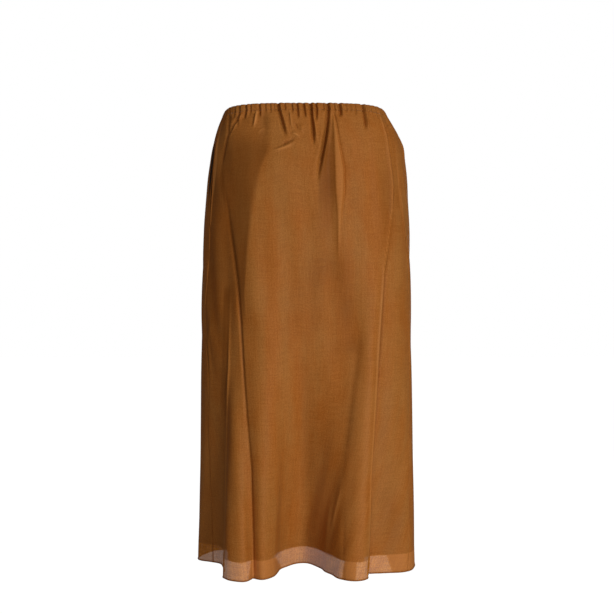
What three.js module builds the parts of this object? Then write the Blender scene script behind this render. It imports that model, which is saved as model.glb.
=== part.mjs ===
// A long skirt in light voile: an outer layer of front and back panels, a shorter lining inside it,
// a narrow gathered waist casing, and a pocket bag behind each side seam.
// Millimetres, +Z up. X runs to the right of the front, which faces -Y.
// The origin is the centre of the waist, halfway up the casing.

import * as THREE from "three";

// Driving dimensions
const CASING_HEIGHT = 12;
const CASING_DEPTH = 6.2;
const CASING_TOP = CASING_HEIGHT / 2;
const CASING_DRAWN_IN = 1.2;
const CASING_SCALLOP = 0.5;
const SEAM_GAP = 0.3;
const PANEL_TOP = -CASING_TOP - SEAM_GAP;
const HEM = -858;
const KNEE = -430;
const CLOTH = 1.1;
const LINING_CLOTH = 1.0;
const LINING_SEAM_GAP = 1.0;
const LINING_SHORTER = 32;

// The general figure that fills the skirt: half width, how far its middle stands to the right,
// depth to the front and to the back of the waist's centre, and how square the section is
// (2 is an ellipse)
const FIGURE = [
  { z: 6, half: 154, right: -3.5, front: 121, back: 121, square: 3.0 },
  { z: -30, half: 171, right: -2, front: 129, back: 132, square: 2.8 },
  { z: -63, half: 184, right: 0, front: 133, back: 139, square: 2.6 },
  { z: -120, half: 192, right: 0, front: 136, back: 147, square: 2.5 },
  { z: -210, half: 198, right: 0, front: 136, back: 150, square: 2.5 },
  { z: -380, half: 202, right: 0, front: 134, back: 146, square: 2.5 },
  { z: -600, half: 206.5, right: 0, front: 130, back: 140, square: 2.5 },
  { z: HEM, half: 210, right: 0, front: 125, back: 135, square: 2.6 },
];

// The lines that each section runs through, round from the left side: where a line leaves the
// figure, its angle there from the centre front, and where it hangs at the knee and at the hem
const LINES = [
  { name: "left side", angle: -92, start: -200, knee: [-201, 4], hem: [-210, 4] },
  { name: "left seam", angle: -72, start: -120, knee: [-196, -44], hem: [-187, -12] },
  { name: "left hollow", angle: -62, start: -200, knee: [-162, -86], hem: [-166, -25] },
  { name: "first fold, back", angle: -56, start: -220, knee: [-144, -99], hem: [-153, -72] },
  { name: "first fold, edge", angle: -51.5, start: -200, knee: [-138, -114], hem: [-147, -126] },
  { name: "first fold", angle: -48, start: -160, knee: [-130, -121], hem: [-130, -146] },
  { name: "first fold, front", angle: -44, start: -110, knee: [-121, -118], hem: [-106, -137] },
  { name: "long crease", angle: -41, start: -110, knee: [-115, -107], hem: [-96, -120] },
  { name: "second fold", angle: -33, start: -110, knee: [-90, -131], hem: [-80, -133] },
  { name: "second fold, front", angle: -23, start: -200, knee: [-60, -131], hem: [-60, -112] },
  { name: "bay, left flank", angle: -14, start: -230, knee: [-34, -119], hem: [-46, -58] },
  { name: "bay", angle: 0, start: -250, knee: [4, -108], hem: [-6, -20] },
  { name: "bay, right flank", angle: 12, start: -220, knee: [46, -108], hem: [33, -72] },
  { name: "right crease", angle: 22, start: -240, knee: [86, -106], hem: [58, -116] },
  { name: "third fold", angle: 34, start: -240, knee: [113, -124], hem: [86, -141] },
  { name: "third fold, edge", angle: 41, start: -180, knee: [129, -115], hem: [108, -131] },
  { name: "third fold, back", angle: 45, start: -180, knee: [135, -100], hem: [113, -91] },
  { name: "right hollow", angle: 53, start: -220, knee: [160, -92], hem: [146, -82] },
  { name: "right seam", angle: 66, start: -120, knee: [195, -48], hem: [190, -70] },
  { name: "right side", angle: 90, start: -200, knee: [200, 0], hem: [208, -6] },
  { name: "back fold 1", angle: 112, start: -220, knee: [184, 68], hem: [186, 84] },
  { name: "back hollow 1", angle: 127, start: -200, knee: [149, 102], hem: [143, 92] },
  { name: "back fold 2", angle: 140, start: -180, knee: [114, 130], hem: [109, 141] },
  { name: "back fold 2, far side", angle: 152, start: -200, knee: [78, 139], hem: [80, 142] },
  { name: "back hollow 2", angle: 166, start: -220, knee: [38, 136], hem: [44, 109] },
  { name: "back fold 3", angle: 180, start: -240, knee: [-4, 148], hem: [0, 138] },
  { name: "back fold 3, far side", angle: 192, start: -200, knee: [-38, 147], hem: [-33, 151] },
  { name: "back hollow 3", angle: 206, start: -240, knee: [-78, 132], hem: [-73, 106] },
  { name: "back fold 4", angle: 221, start: -190, knee: [-118, 130], hem: [-117, 139] },
  { name: "back hollow 4", angle: 236, start: -210, knee: [-154, 99], hem: [-150, 97] },
  { name: "back fold 5", angle: 251, start: -230, knee: [-185, 63], hem: [-189, 76] },
];
const STEPS_PER_LINE = 24;
const LEFT_SEAM = 1;
const RIGHT_SEAM = 18;

// Elastic gathers: small valleys side by side, uneven in depth and length by two slow waves that
// turn this many radians from one gather to the next
const GATHERS = { front: 28, back: 30, depth: 1.6, deeper: 0.45, length: 40, longer: 18 };
const UNEVEN_DEPTH_TURN = 2.4;
const UNEVEN_LENGTH_TURN = 1.7;
const COLUMNS_PER_GATHER = 3;

// Long creases that run down from the waist, on the front (side -1) or the back (side 1): where
// they stand across at the top and at the foot, how low they end, the height of a ridge above zero
// or of a valley below it, and half of their width
const CREASES = [
  { name: "left gather", side: -1, top: -53, foot: -37, end: -62, height: -3.4, half: 6 },
  { name: "middle gather", side: -1, top: 5, foot: 12, end: -84, height: -3.6, half: 6 },
  { name: "slanted gather", side: -1, top: 37, foot: 19, end: -140, height: -4.6, half: 9 },
  { name: "pleat", side: -1, top: 49, foot: 60, end: -300, height: 6.5, half: 11 },
  { name: "right gather", side: -1, top: 105, foot: 109, end: -56, height: -3.2, half: 6 },
  { name: "left drag", side: -1, top: -112, foot: -148, end: -120, height: 2.6, half: 10 },
  { name: "back pleat", side: 1, top: -42, foot: -58, end: -240, height: 5.0, half: 11 },
  { name: "back gather", side: 1, top: 64, foot: 52, end: -150, height: -4.0, half: 9 },
];

// Heights of the rows of points, close together near the gathers
const OUTER_ROWS = [PANEL_TOP, -17, -32, -50, -70, -100, -140, -205, -285, -380, -490, -610, -740, HEM];
const LINING_ROWS = [PANEL_TOP, -22, -50, -100, -140, -205, -285, -380, -490, -610, -740,
  HEM + LINING_SHORTER];
const LINING_COLUMNS = { front: 56, back: 44 };

// Room between the two layers, by height
const LINING_ROOM = [
  { z: PANEL_TOP, room: 5.3 },
  { z: -20, room: 8.0 },
  { z: -60, room: 8.5 },
  { z: -740, room: 8.2 },
  { z: HEM, room: 6.5 },
];

// How far the hem stands above or below its mean height, by place across the front panel
const HEM_RISE = [
  { across: 0, rise: 4 },
  { across: 0.2, rise: 1 },
  { across: 0.3, rise: 0 },
  { across: 0.55, rise: 4 },
  { across: 0.75, rise: 0 },
  { across: 1, rise: 0 },
];

// Pockets in the side seams
const MOUTH = { top: -66, foot: -214, gape: 5 };
const BAG = { under: 9, outer: CLOTH + 0.7, thick: 1.4, sag: 1.3, seated: 50, columns: 12 };
const BAG_ROWS = [
  { z: -70, reach: 78 },
  { z: -100, reach: 104 },
  { z: -140, reach: 110 },
  { z: -205, reach: 98 },
  { z: -245, reach: 78 },
  { z: -285, reach: 46 },
];

const COLOURS = { outer: 0x935826, casing: 0x8a5122, lining: 0x8c5527, bag: 0x6b3f18 };

// A crease has this share of its height at the waist and its whole height this much further down
const CREASE_AT_WAIST = 0.1;
const CREASE_FULL_AT = 0.13;

// Reads a column of a table between its rows, which are sorted by a falling or rising key
function readTable(rows, key, column, place) {
  const rising = rows[rows.length - 1][key] > rows[0][key];
  const passed = (row) => (rising ? place <= row[key] : place >= row[key]);
  const reached = rows.findIndex(passed);
  if (reached === 0) return rows[0][column];
  if (reached < 0) return rows[rows.length - 1][column];
  const before = rows[reached - 1];
  const after = rows[reached];
  const share = (place - before[key]) / (after[key] - before[key]);
  return before[column] + (after[column] - before[column]) * share;
}

function figurePoint(angle, z) {
  const half = readTable(FIGURE, "z", "half", z);
  const right = readTable(FIGURE, "z", "right", z);
  const square = readTable(FIGURE, "z", "square", z);
  const turn = THREE.MathUtils.degToRad(angle);
  const depth = readTable(FIGURE, "z", Math.cos(turn) > 0 ? "front" : "back", z);
  const sine = Math.sin(turn);
  const cosine = Math.cos(turn);
  const reach = (Math.abs(sine) ** square + Math.abs(cosine) ** square) ** (-1 / square);
  return new THREE.Vector2(right + half * reach * sine, -depth * reach * cosine);
}

// A cubic between two values with given slopes, over a span
function cubic(share, span, from, slopeFrom, to, slopeTo) {
  const s2 = share * share;
  const s3 = s2 * share;
  return (2 * s3 - 3 * s2 + 1) * from + (s3 - 2 * s2 + share) * span * slopeFrom
    + (3 * s2 - 2 * s3) * to + (s3 - s2) * span * slopeTo;
}

// How far one value of a fold line has left the figure at a height
function drift(z, start, atKnee, atHem) {
  const slopeKnee = atHem / (HEM - start);
  if (z >= start) return 0;
  if (z >= KNEE) {
    return cubic((z - start) / (KNEE - start), KNEE - start, 0, 0, atKnee, slopeKnee);
  }
  const slopeHem = (atHem - atKnee) / (HEM - KNEE);
  return cubic((z - KNEE) / (HEM - KNEE), HEM - KNEE, atKnee, slopeKnee, atHem, slopeHem);
}

function linePoint(line, z) {
  const point = figurePoint(line.angle, z);
  const atKnee = new THREE.Vector2(...line.knee).sub(figurePoint(line.angle, KNEE));
  const atHem = new THREE.Vector2(...line.hem).sub(figurePoint(line.angle, HEM));
  point.x += drift(z, line.start, atKnee.x, atHem.x);
  point.y += drift(z, line.start, atKnee.y, atHem.y);
  return point;
}

// One level section of the cloth, as a closed curve that can be walked by length
const sections = new Map();

function section(z) {
  if (sections.has(z)) return sections.get(z);
  const corners = LINES.map((line) => linePoint(line, z)).map((p) => new THREE.Vector3(p.x, p.y, 0));
  const curve = new THREE.CatmullRomCurve3(corners, true, "centripetal");
  const points = curve.getPoints(LINES.length * STEPS_PER_LINE);
  const lengths = [0];
  for (let i = 1; i < points.length; i += 1) {
    lengths.push(lengths[i - 1] + points[i].distanceTo(points[i - 1]));
  }
  const found = { points, lengths, round: lengths[lengths.length - 1] };
  sections.set(z, found);
  return found;
}

function seamLength(z, seam) {
  return section(z).lengths[seam * STEPS_PER_LINE];
}

// The point and the outward direction at a length along the section
function walk(z, length) {
  const { points, lengths, round } = section(z);
  const place = ((length % round) + round) % round;
  let low = 0;
  let high = lengths.length - 1;
  while (high - low > 1) {
    const middle = (low + high) >> 1;
    if (lengths[middle] > place) high = middle;
    else low = middle;
  }
  const share = (place - lengths[low]) / (lengths[high] - lengths[low]);
  const point = points[low].clone().lerp(points[high], share);
  const count = points.length - 1;
  const before = points[(low - 2 + count) % count];
  const after = points[(high + 2) % count];
  const along = after.clone().sub(before).normalize();
  return { point, out: new THREE.Vector3(along.y, -along.x, 0) };
}

function smooth(share) {
  const s = THREE.MathUtils.clamp(share, 0, 1);
  return s * s * (3 - 2 * s);
}

// Depth of the elastic gathers, by place across a panel and by height
function gatherRelief(across, z, count) {
  const wave = across * count;
  const index = Math.floor(wave);
  const depth = GATHERS.depth + GATHERS.deeper * Math.sin(index * UNEVEN_DEPTH_TURN + count);
  const length = GATHERS.length + GATHERS.longer * Math.sin(index * UNEVEN_LENGTH_TURN + count);
  const fade = 1 - smooth((PANEL_TOP - z) / length);
  return -fade * depth * Math.cos(2 * Math.PI * wave);
}

function creaseRelief(point, z) {
  const side = Math.sign(point.y);
  let relief = 0;
  for (const crease of CREASES) {
    if (crease.side !== side || z < crease.end) continue;
    const share = THREE.MathUtils.clamp(z / crease.end, 0, 1);
    const centre = crease.top + (crease.foot - crease.top) * share;
    const away = (point.x - centre) / crease.half;
    if (Math.abs(away) < 1) {
      const across = 0.5 + 0.5 * Math.cos(Math.PI * away);
      const grown = CREASE_AT_WAIST + (1 - CREASE_AT_WAIST) * smooth(share / CREASE_FULL_AT);
      const along = grown * (1 - smooth(share));
      relief += crease.height * across * along;
    }
  }
  return relief;
}

// How far the front edge of the left pocket stands open, by height
function mouthGape(z) {
  const share = (z - MOUTH.top) / (MOUTH.foot - MOUTH.top);
  return share > 0 && share < 1 ? MOUTH.gape * Math.sin(Math.PI * share) : 0;
}

// Where a panel starts and ends along the section: the front from the left seam to the right one,
// the back from the right seam round to the left one
function panelEnds(panel, z, gap) {
  const left = seamLength(z, LEFT_SEAM);
  const right = seamLength(z, RIGHT_SEAM);
  if (panel === "front") return [left + gap / 2, right - gap / 2];
  return [right + gap / 2, left + section(z).round - gap / 2];
}

function hemRise(panel, across, z) {
  const share = smooth((z - KNEE) / (HEM - KNEE));
  const rise = panel === "front" ? readTable(HEM_RISE, "across", "rise", across)
    : THREE.MathUtils.lerp(HEM_RISE[HEM_RISE.length - 1].rise, HEM_RISE[0].rise, across);
  return rise * share;
}

// One column of a row: a pair of points, outside and inside the wall
function wallPair(point, out, offset, thickness, height) {
  return {
    outer: point.clone().addScaledVector(out, offset).setZ(height),
    inner: point.clone().addScaledVector(out, offset - thickness).setZ(height),
  };
}

// The gathered outer cloth at a height. The front edge stands open at the left pocket.
function outerRow(panel, z) {
  const columns = GATHERS[panel] * COLUMNS_PER_GATHER;
  const [seam, to] = panelEnds(panel, z, SEAM_GAP);
  const from = panel === "front" ? seam + mouthGape(z) : seam;
  const row = [];
  for (let i = 0; i <= columns; i += 1) {
    const across = i / columns;
    const { point, out } = walk(z, from + (to - from) * across);
    const relief = gatherRelief(across, z, GATHERS[panel]) + creaseRelief(point, z);
    row.push(wallPair(point, out, relief, CLOTH, z + hemRise(panel, across, z)));
  }
  return row;
}

// The plain lining at a height, with its room inside the outer cloth
function liningRow(panel, z) {
  const columns = LINING_COLUMNS[panel];
  const room = readTable(LINING_ROOM, "z", "room", z);
  const [from, to] = panelEnds(panel, z, LINING_SEAM_GAP);
  const row = [];
  for (let i = 0; i <= columns; i += 1) {
    const across = i / columns;
    const { point, out } = walk(z, from + (to - from) * across);
    row.push(wallPair(point, out, -room, LINING_CLOTH, z + hemRise(panel, across, z)));
  }
  return row;
}

// Joins rows of outside and inside points into one closed wall. A ring closes on its first column.
function wallGeometry(rows, ring = false) {
  const positions = [];
  const number = new Map();
  for (const pair of rows.flat()) {
    number.set(pair, positions.length / 3);
    positions.push(...pair.outer.toArray(), ...pair.inner.toArray());
  }
  const indices = [];
  const outside = (pair) => number.get(pair);
  const inside = (pair) => number.get(pair) + 1;
  const face = (a, b, c) => {
    indices.push(outside(a), outside(b), outside(c), inside(a), inside(c), inside(b));
  };
  const edge = (a, b) => {
    indices.push(outside(a), outside(b), inside(b), outside(a), inside(b), inside(a));
  };
  for (let r = 0; r + 1 < rows.length; r += 1) {
    const upper = rows[r];
    const lower = rows[r + 1];
    const last = ring ? lower.length : lower.length - 1;
    for (let c = 0; c < last; c += 1) {
      const next = (c + 1) % lower.length;
      face(upper[c], lower[c], lower[next]);
      face(upper[c], lower[next], upper[next]);
    }
    if (!ring) {
      edge(lower[0], upper[0]);
      edge(upper[upper.length - 1], lower[lower.length - 1]);
    }
  }
  const top = rows[0];
  const foot = rows[rows.length - 1];
  const span = ring ? 0 : 1;
  for (let c = 0; c < top.length - span; c += 1) edge(top[c], top[(c + 1) % top.length]);
  for (let c = 0; c < foot.length - span; c += 1) edge(foot[(c + 1) % foot.length], foot[c]);
  const geometry = new THREE.BufferGeometry();
  geometry.setAttribute("position", new THREE.Float32BufferAttribute(positions, 3));
  geometry.setIndex(indices);
  geometry.computeVertexNormals();
  return geometry;
}

// The casing is one gathered ring over both panels, with the elastic closed inside it. Its top
// edge is drawn in and scalloped.
function casingRow(z, drawnIn, scallop) {
  const row = [];
  for (const panel of ["front", "back"]) {
    const columns = GATHERS[panel] * COLUMNS_PER_GATHER;
    const [from, to] = panelEnds(panel, 0, 0);
    for (let i = 0; i < columns; i += 1) {
      const across = i / columns;
      const { point, out } = walk(0, from + (to - from) * across);
      const relief = gatherRelief(across, PANEL_TOP, GATHERS[panel]);
      const thickness = CASING_DEPTH - 2 * drawnIn;
      row.push(wallPair(point, out, relief - drawnIn, thickness, z + relief * scallop));
    }
  }
  return row;
}

function casing() {
  const top = casingRow(CASING_TOP, CASING_DRAWN_IN, CASING_SCALLOP);
  return wallGeometry([top, casingRow(-CASING_TOP, 0, 0)], true);
}

// A pocket bag lies flat between the layers: both of its plies are one thin slab, from just under
// the back panel to its rounded end under the front panel
function pocketBag(seam, direction) {
  const rows = BAG_ROWS.map(({ z, reach }) => {
    const row = [];
    for (let c = 0; c <= BAG.columns; c += 1) {
      const along = -BAG.under + (reach + BAG.under) * (c / BAG.columns);
      const { point, out } = walk(z, seamLength(z, seam) + direction * along);
      const sag = BAG.sag * smooth(along / BAG.seated);
      row.push(wallPair(point, out, -BAG.outer - sag, BAG.thick, z));
    }
    return direction > 0 ? row : row.reverse();
  });
  return wallGeometry(rows);
}

const group = new THREE.Group();
group.name = "maxi_skirt";

function addPiece(name, geometry, color, roughness = 0.75) {
  const material = new THREE.MeshStandardMaterial({ color, roughness, metalness: 0 });
  const mesh = new THREE.Mesh(geometry, material);
  mesh.name = name;
  group.add(mesh);
}

addPiece("outer_front", wallGeometry(OUTER_ROWS.map((z) => outerRow("front", z))), COLOURS.outer, 0.6);
addPiece("outer_back", wallGeometry(OUTER_ROWS.map((z) => outerRow("back", z))), COLOURS.outer, 0.6);
addPiece("waist_casing", casing(), COLOURS.casing, 0.65);
addPiece("lining_front", wallGeometry(LINING_ROWS.map((z) => liningRow("front", z))), COLOURS.lining);
addPiece("lining_back", wallGeometry(LINING_ROWS.map((z) => liningRow("back", z))), COLOURS.lining);
addPiece("pocket_left", pocketBag(LEFT_SEAM, 1), COLOURS.bag);
addPiece("pocket_right", pocketBag(RIGHT_SEAM, -1), COLOURS.bag);

export default group;
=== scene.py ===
# %% [markdown]
# # A long voile skirt, gathered on elastic
# The skirt hangs as if it were worn: an outer layer of light half-sheer voile, a shorter lining
# inside it, a narrow casing gathered on elastic, and a pocket in each side seam.
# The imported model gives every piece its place, so this script only makes the cloth itself.

# %% The frame
import math
import random

import bmesh
import bpy
import numpy as np
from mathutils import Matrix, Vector


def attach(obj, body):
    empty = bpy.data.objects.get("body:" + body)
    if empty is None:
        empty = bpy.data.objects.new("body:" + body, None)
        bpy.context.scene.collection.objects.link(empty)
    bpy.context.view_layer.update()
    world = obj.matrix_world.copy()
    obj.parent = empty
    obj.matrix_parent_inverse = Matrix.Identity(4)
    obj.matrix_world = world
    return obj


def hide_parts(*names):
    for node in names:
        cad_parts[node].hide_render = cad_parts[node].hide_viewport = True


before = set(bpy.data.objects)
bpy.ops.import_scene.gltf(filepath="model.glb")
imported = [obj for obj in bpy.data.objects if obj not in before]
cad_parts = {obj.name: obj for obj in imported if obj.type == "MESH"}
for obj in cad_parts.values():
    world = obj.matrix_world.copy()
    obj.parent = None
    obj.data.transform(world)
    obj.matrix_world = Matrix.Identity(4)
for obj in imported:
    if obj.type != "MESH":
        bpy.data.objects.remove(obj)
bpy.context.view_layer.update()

MM = 0.001

# %% [markdown]
# ## Sizes
# A skirt is cut from a few measures: how deep the casing is, how far it is to the hem, and how much
# shorter the lining is. They are in millimetres here, and each mesh is scaled to metres at the end.

# %% Sizes
CASING_TOP = 6.0
PANEL_TOP = -6.3
KNEE = -430.0
HEM = -858.0
LINING_HEM = HEM + 32
CLOTH_THICK = 0.4
SEAM_GAP = 0.3
print("outer cloth", PANEL_TOP - HEM, "mm long, lining", PANEL_TOP - LINING_HEM, "mm")

# %% [markdown]
# ## The form inside the skirt
# Cloth takes its shape from what it hangs on. A level section of a dressed figure is a rounded
# square rather than an ellipse, so each row of this short table gives its half width, its depth in
# front and behind, and how square it is. Between the rows the values are blended softly, because a
# kink here would show as a line across the cloth.

# %% Figure
FIGURE = {
    "z": [6, -30, -63, -120, -210, -380, -600, HEM],
    "half": [151, 170, 184, 192, 197.5, 202, 206.5, 210],
    "right": [-3.5, 0, 2.7, 1.7, 0.4, 0, 0, 0],
    "front": [121, 129, 133, 136, 136, 134, 130, 125],
    "back": [121, 132, 139, 147, 150, 146, 140, 135],
    "square": [3.3, 2.9, 2.6, 2.5, 2.5, 2.5, 2.5, 2.6],
}
SOFTEN = 9.0


def soft_curve(places, values, soften=SOFTEN):
    """Straight lines between the rows of a table, rounded off, and carried on past its ends."""
    order = np.argsort(places)
    x, y = np.asarray(places, float)[order], np.asarray(values, float)[order]
    reach = 4 * soften
    x = np.concatenate([[x[0] - 2 * reach], x, [x[-1] + 2 * reach]])
    first, last = (y[1] - y[0]) / (x[2] - x[1]), (y[-1] - y[-2]) / (x[-2] - x[-3])
    y = np.concatenate([[y[0] - 2 * reach * first], y, [y[-1] + 2 * reach * last]])
    fine = np.arange(x[0], x[-1], 1.0)
    bell = np.exp(-0.5 * (np.arange(-reach, reach + 1) / soften) ** 2)
    values = np.interp(fine, x, y)
    padded = np.pad(values, int(reach), mode="reflect", reflect_type="odd")
    rounded = np.convolve(padded, bell / bell.sum(), "valid")
    return lambda place: np.interp(place, fine, rounded)


FORM = {name: soft_curve(FIGURE["z"], FIGURE[name]) for name in FIGURE if name != "z"}


def figure_point(angle, z):
    """The point of the figure at an angle from the front, in degrees, and a height."""
    turn = np.radians(angle)
    square = FORM["square"](z)
    sine, cosine = np.sin(turn), np.cos(turn)
    depth = np.where(cosine > 0, FORM["front"](z), FORM["back"](z))
    reach = (np.abs(sine) ** square + np.abs(cosine) ** square) ** (-1 / square)
    return np.stack([FORM["right"](z) + FORM["half"](z) * reach * sine, -depth * reach * cosine], -1)


print("hips", 2 * float(FORM["half"](-210)), "mm wide")

# %% [markdown]
# ## The large folds
# Light cloth that is wider than the figure falls into folds. Each fold is a line that leaves the
# figure at some height and hangs free below it. The table says where each line stands at the knee
# and at the hem, seen from above, and every level section is one smooth closed curve through them.
# The three front folds and the deep bay between them follow the photo, and the back ones are alike.

# %% Fold lines
LINES = [
    # name, angle on the figure, start, (x, y) at the knee, (x, y) at the hem
    ("left side", -92, -200, (-201, 4), (-210, 4)),
    ("left seam", -72, -120, (-196, -44), (-187, -12)),
    ("left hollow", -62, -200, (-162, -86), (-166, -25)),
    ("first fold, back", -56, -220, (-144, -99), (-153, -72)),
    ("first fold, edge", -51.5, -200, (-143, -96), (-150, -120)),
    ("first fold", -48, -160, (-136, -104), (-136, -140)),
    ("first fold, front", -44, -110, (-128, -111), (-109, -146)),
    ("long crease", -41, -110, (-119, -115), (-96, -121)),
    ("second fold", -33, -110, (-90, -131), (-80, -133)),
    ("second fold, front", -23, -200, (-60, -131), (-60, -112)),
    ("bay, left flank", -14, -170, (-34, -120), (-46, -58)),
    ("bay", 0, -180, (4, -111), (-6, -20)),
    ("bay, right flank", 12, -170, (46, -110), (33, -72)),
    ("right crease", 22, -240, (86, -110), (60, -125)),
    ("third fold", 34, -240, (113, -121), (86, -139)),
    ("third fold, edge", 41, -180, (129, -115), (108, -131)),
    ("third fold, back", 45, -180, (135, -100), (113, -91)),
    ("right hollow", 53, -220, (160, -92), (146, -82)),
    ("right seam", 66, -120, (195, -48), (190, -70)),
    ("right side", 90, -200, (200, 0), (208, -6)),
    ("back fold 1", 112, -220, (184, 68), (186, 84)),
    ("back hollow 1", 127, -200, (149, 102), (143, 92)),
    ("back fold 2", 140, -180, (114, 130), (109, 141)),
    ("back fold 2, far side", 152, -200, (78, 139), (80, 142)),
    ("back hollow 2", 166, -220, (38, 136), (44, 109)),
    ("back fold 3", 180, -240, (-4, 148), (0, 138)),
    ("back fold 3, far side", 192, -200, (-38, 147), (-33, 151)),
    ("back hollow 3", 206, -240, (-78, 132), (-73, 106)),
    ("back fold 4", 221, -190, (-118, 130), (-117, 139)),
    ("back hollow 4", 236, -210, (-154, 99), (-150, 97)),
    ("back fold 5", 251, -230, (-185, 63), (-189, 76)),
]
LEFT_SEAM = [line[0] for line in LINES].index("left seam")
RIGHT_SEAM = [line[0] for line in LINES].index("right seam")


def hermite(share, span, start, slope_start, end, slope_end):
    """A smooth blend from start to end that leaves and arrives with the given slopes."""
    s2, s3 = share**2, share**3
    return ((2 * s3 - 3 * s2 + 1) * start + (s3 - 2 * s2 + share) * span * slope_start
            + (3 * s2 - 2 * s3) * end + (s3 - s2) * span * slope_end)


def drift(z, start, at_knee, at_hem):
    """How far a fold line has left the figure at height z."""
    if z >= start:
        return np.zeros(2)
    knee_slope = at_hem / (HEM - start)
    if z >= KNEE:
        share, still = (z - start) / (KNEE - start), np.zeros(2)
        return hermite(share, KNEE - start, still, still, at_knee, knee_slope)
    hem_slope = (at_hem - at_knee) / (HEM - KNEE)
    return hermite((z - KNEE) / (HEM - KNEE), HEM - KNEE, at_knee, knee_slope, at_hem, hem_slope)


def line_points(z):
    """Where every fold line stands at height z."""
    points = []
    for _, angle, start, knee, hem in LINES:
        at_knee = np.array(knee) - figure_point(angle, KNEE)
        at_hem = np.array(hem) - figure_point(angle, HEM)
        points.append(figure_point(angle, z) + drift(z, start, at_knee, at_hem))
    return np.array(points)


CURVE_STEPS = 24


def closed_curve(points):
    """A smooth closed curve through the points, whose bends don't swing out past them."""
    before, after = np.roll(points, 1, 0), np.roll(points, -1, 0)
    beyond = np.roll(points, -2, 0)
    gap = lambda a, b: np.sqrt(np.linalg.norm(b - a, axis=1))[:, None]
    d0, d1, d2 = gap(before, points), gap(points, after), gap(after, beyond)
    leave = ((points - before) / d0 - (after - before) / (d0 + d1) + (after - points) / d1) * d1
    arrive = ((after - points) / d1 - (beyond - points) / (d1 + d2) + (beyond - after) / d2) * d1
    t = (np.arange(CURVE_STEPS) / CURVE_STEPS)[None, :, None]
    curve = hermite(t, 1, points[:, None], leave[:, None], after[:, None], arrive[:, None])
    return curve.reshape(-1, 2)


print(len(LINES), "fold lines")

# %% [markdown]
# ## Walking round a section
# A weaver counts threads, not degrees: cloth is spread evenly by its own length. So each section is
# measured along its curve, and a point on a panel is named by how far across the panel it lies.
# The curve is rounded a little more, as real cloth never turns as sharply as a drawn line.

# %% Sections
SAMPLES = 900
ROUNDING = soft_curve([6, -220, -430, -640, HEM], [5, 6, 11, 9, 5], soften=20)
# how far forward each side seam lies from its fold line, in mm along the cloth
SEAM_FORWARD = {
    "z": [6, -30, -70, -120, -210, -300, -365, -480, -614, HEM],
    "left": [11, 24, 30, 32.5, 32.5, 21, 12, 19, 14, 9],
    "right": [12, 22, 28, 26, 16, 0, 0, 0, 0, 0],
}
LEFT_FORWARD = soft_curve(SEAM_FORWARD["z"], SEAM_FORWARD["left"])
RIGHT_FORWARD = soft_curve(SEAM_FORWARD["z"], SEAM_FORWARD["right"])
ACROSS_TRIED = (0.02, 0.98, 400)
sections = {}


def section(z):
    """The closed curve of the cloth at height z, measured along its length."""
    key = round(float(z), 3)
    if key in sections:
        return sections[key]
    curve = closed_curve(line_points(z))
    ring = np.vstack([curve, curve[:1]])
    along = np.concatenate([[0], np.cumsum(np.linalg.norm(np.diff(ring, axis=0), axis=1))])
    even = np.linspace(0, along[-1], SAMPLES, endpoint=False)
    points = np.stack([np.interp(even, along, ring[:, k]) for k in (0, 1)], -1)
    waves = np.fft.fftfreq(SAMPLES, along[-1] / SAMPLES)
    bell = np.exp(-2 * (math.pi * waves * float(ROUNDING(z))) ** 2)[:, None]
    points = np.fft.ifft(np.fft.fft(points, axis=0) * bell, axis=0).real
    ring = np.vstack([points, points[:1]])
    lengths = np.concatenate([[0], np.cumsum(np.linalg.norm(np.diff(ring, axis=0), axis=1))])
    seams = [np.interp(along[seam * CURVE_STEPS], np.append(even, along[-1]), lengths)
             for seam in (LEFT_SEAM, RIGHT_SEAM)]
    seams = [seams[0] + float(LEFT_FORWARD(z)), seams[1] - float(RIGHT_FORWARD(z))]
    tangent = np.roll(points, -1, 0) - np.roll(points, 1, 0)
    tangent /= np.linalg.norm(tangent, axis=1)[:, None]
    out = np.stack([tangent[:, 1], -tangent[:, 0]], -1)
    sections[key] = {"ring": ring, "lengths": lengths, "round": lengths[-1], "seams": seams,
                     "out": np.vstack([out, out[:1]])}
    return sections[key]


def walk(z, lengths):
    """Points and outward directions at these lengths along the section at height z."""
    s = section(z)
    place = np.mod(lengths, s["round"])
    pick = lambda values: np.stack([np.interp(place, s["lengths"], values[:, k]) for k in (0, 1)], -1)
    out = pick(s["out"])
    return pick(s["ring"]), out / np.linalg.norm(out, axis=1)[:, None]


def panel_ends(panel, z, gap=SEAM_GAP):
    """Where a panel starts and ends, as lengths along the section."""
    left, right = section(z)["seams"]
    if panel == "front":
        return left + gap / 2, right - gap / 2
    return right + gap / 2, left + section(z)["round"] - gap / 2


def across_of(panel, x, z):
    """How far across the panel the cloth stands at x, at height z."""
    start, end = panel_ends(panel, z)
    share = np.linspace(*ACROSS_TRIED)
    points, _ = walk(z, start + (end - start) * share)
    return float(share[np.argmin(np.abs(points[:, 0] - x))])


print("waist", round(section(0)["round"]), "mm round, hem", round(section(HEM)["round"]), "mm round")

# %% [markdown]
# ## Gathers and creases
# Elastic pulls the cloth into many small valleys with wider ridges between them. In the photo a few
# of them run on down the skirt as long creases, and each has its own length, slant and depth. They
# are kept in one table, so that a fold can be found and changed by its name. The hidden back gets
# its own uneven row from a seeded draw.

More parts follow.
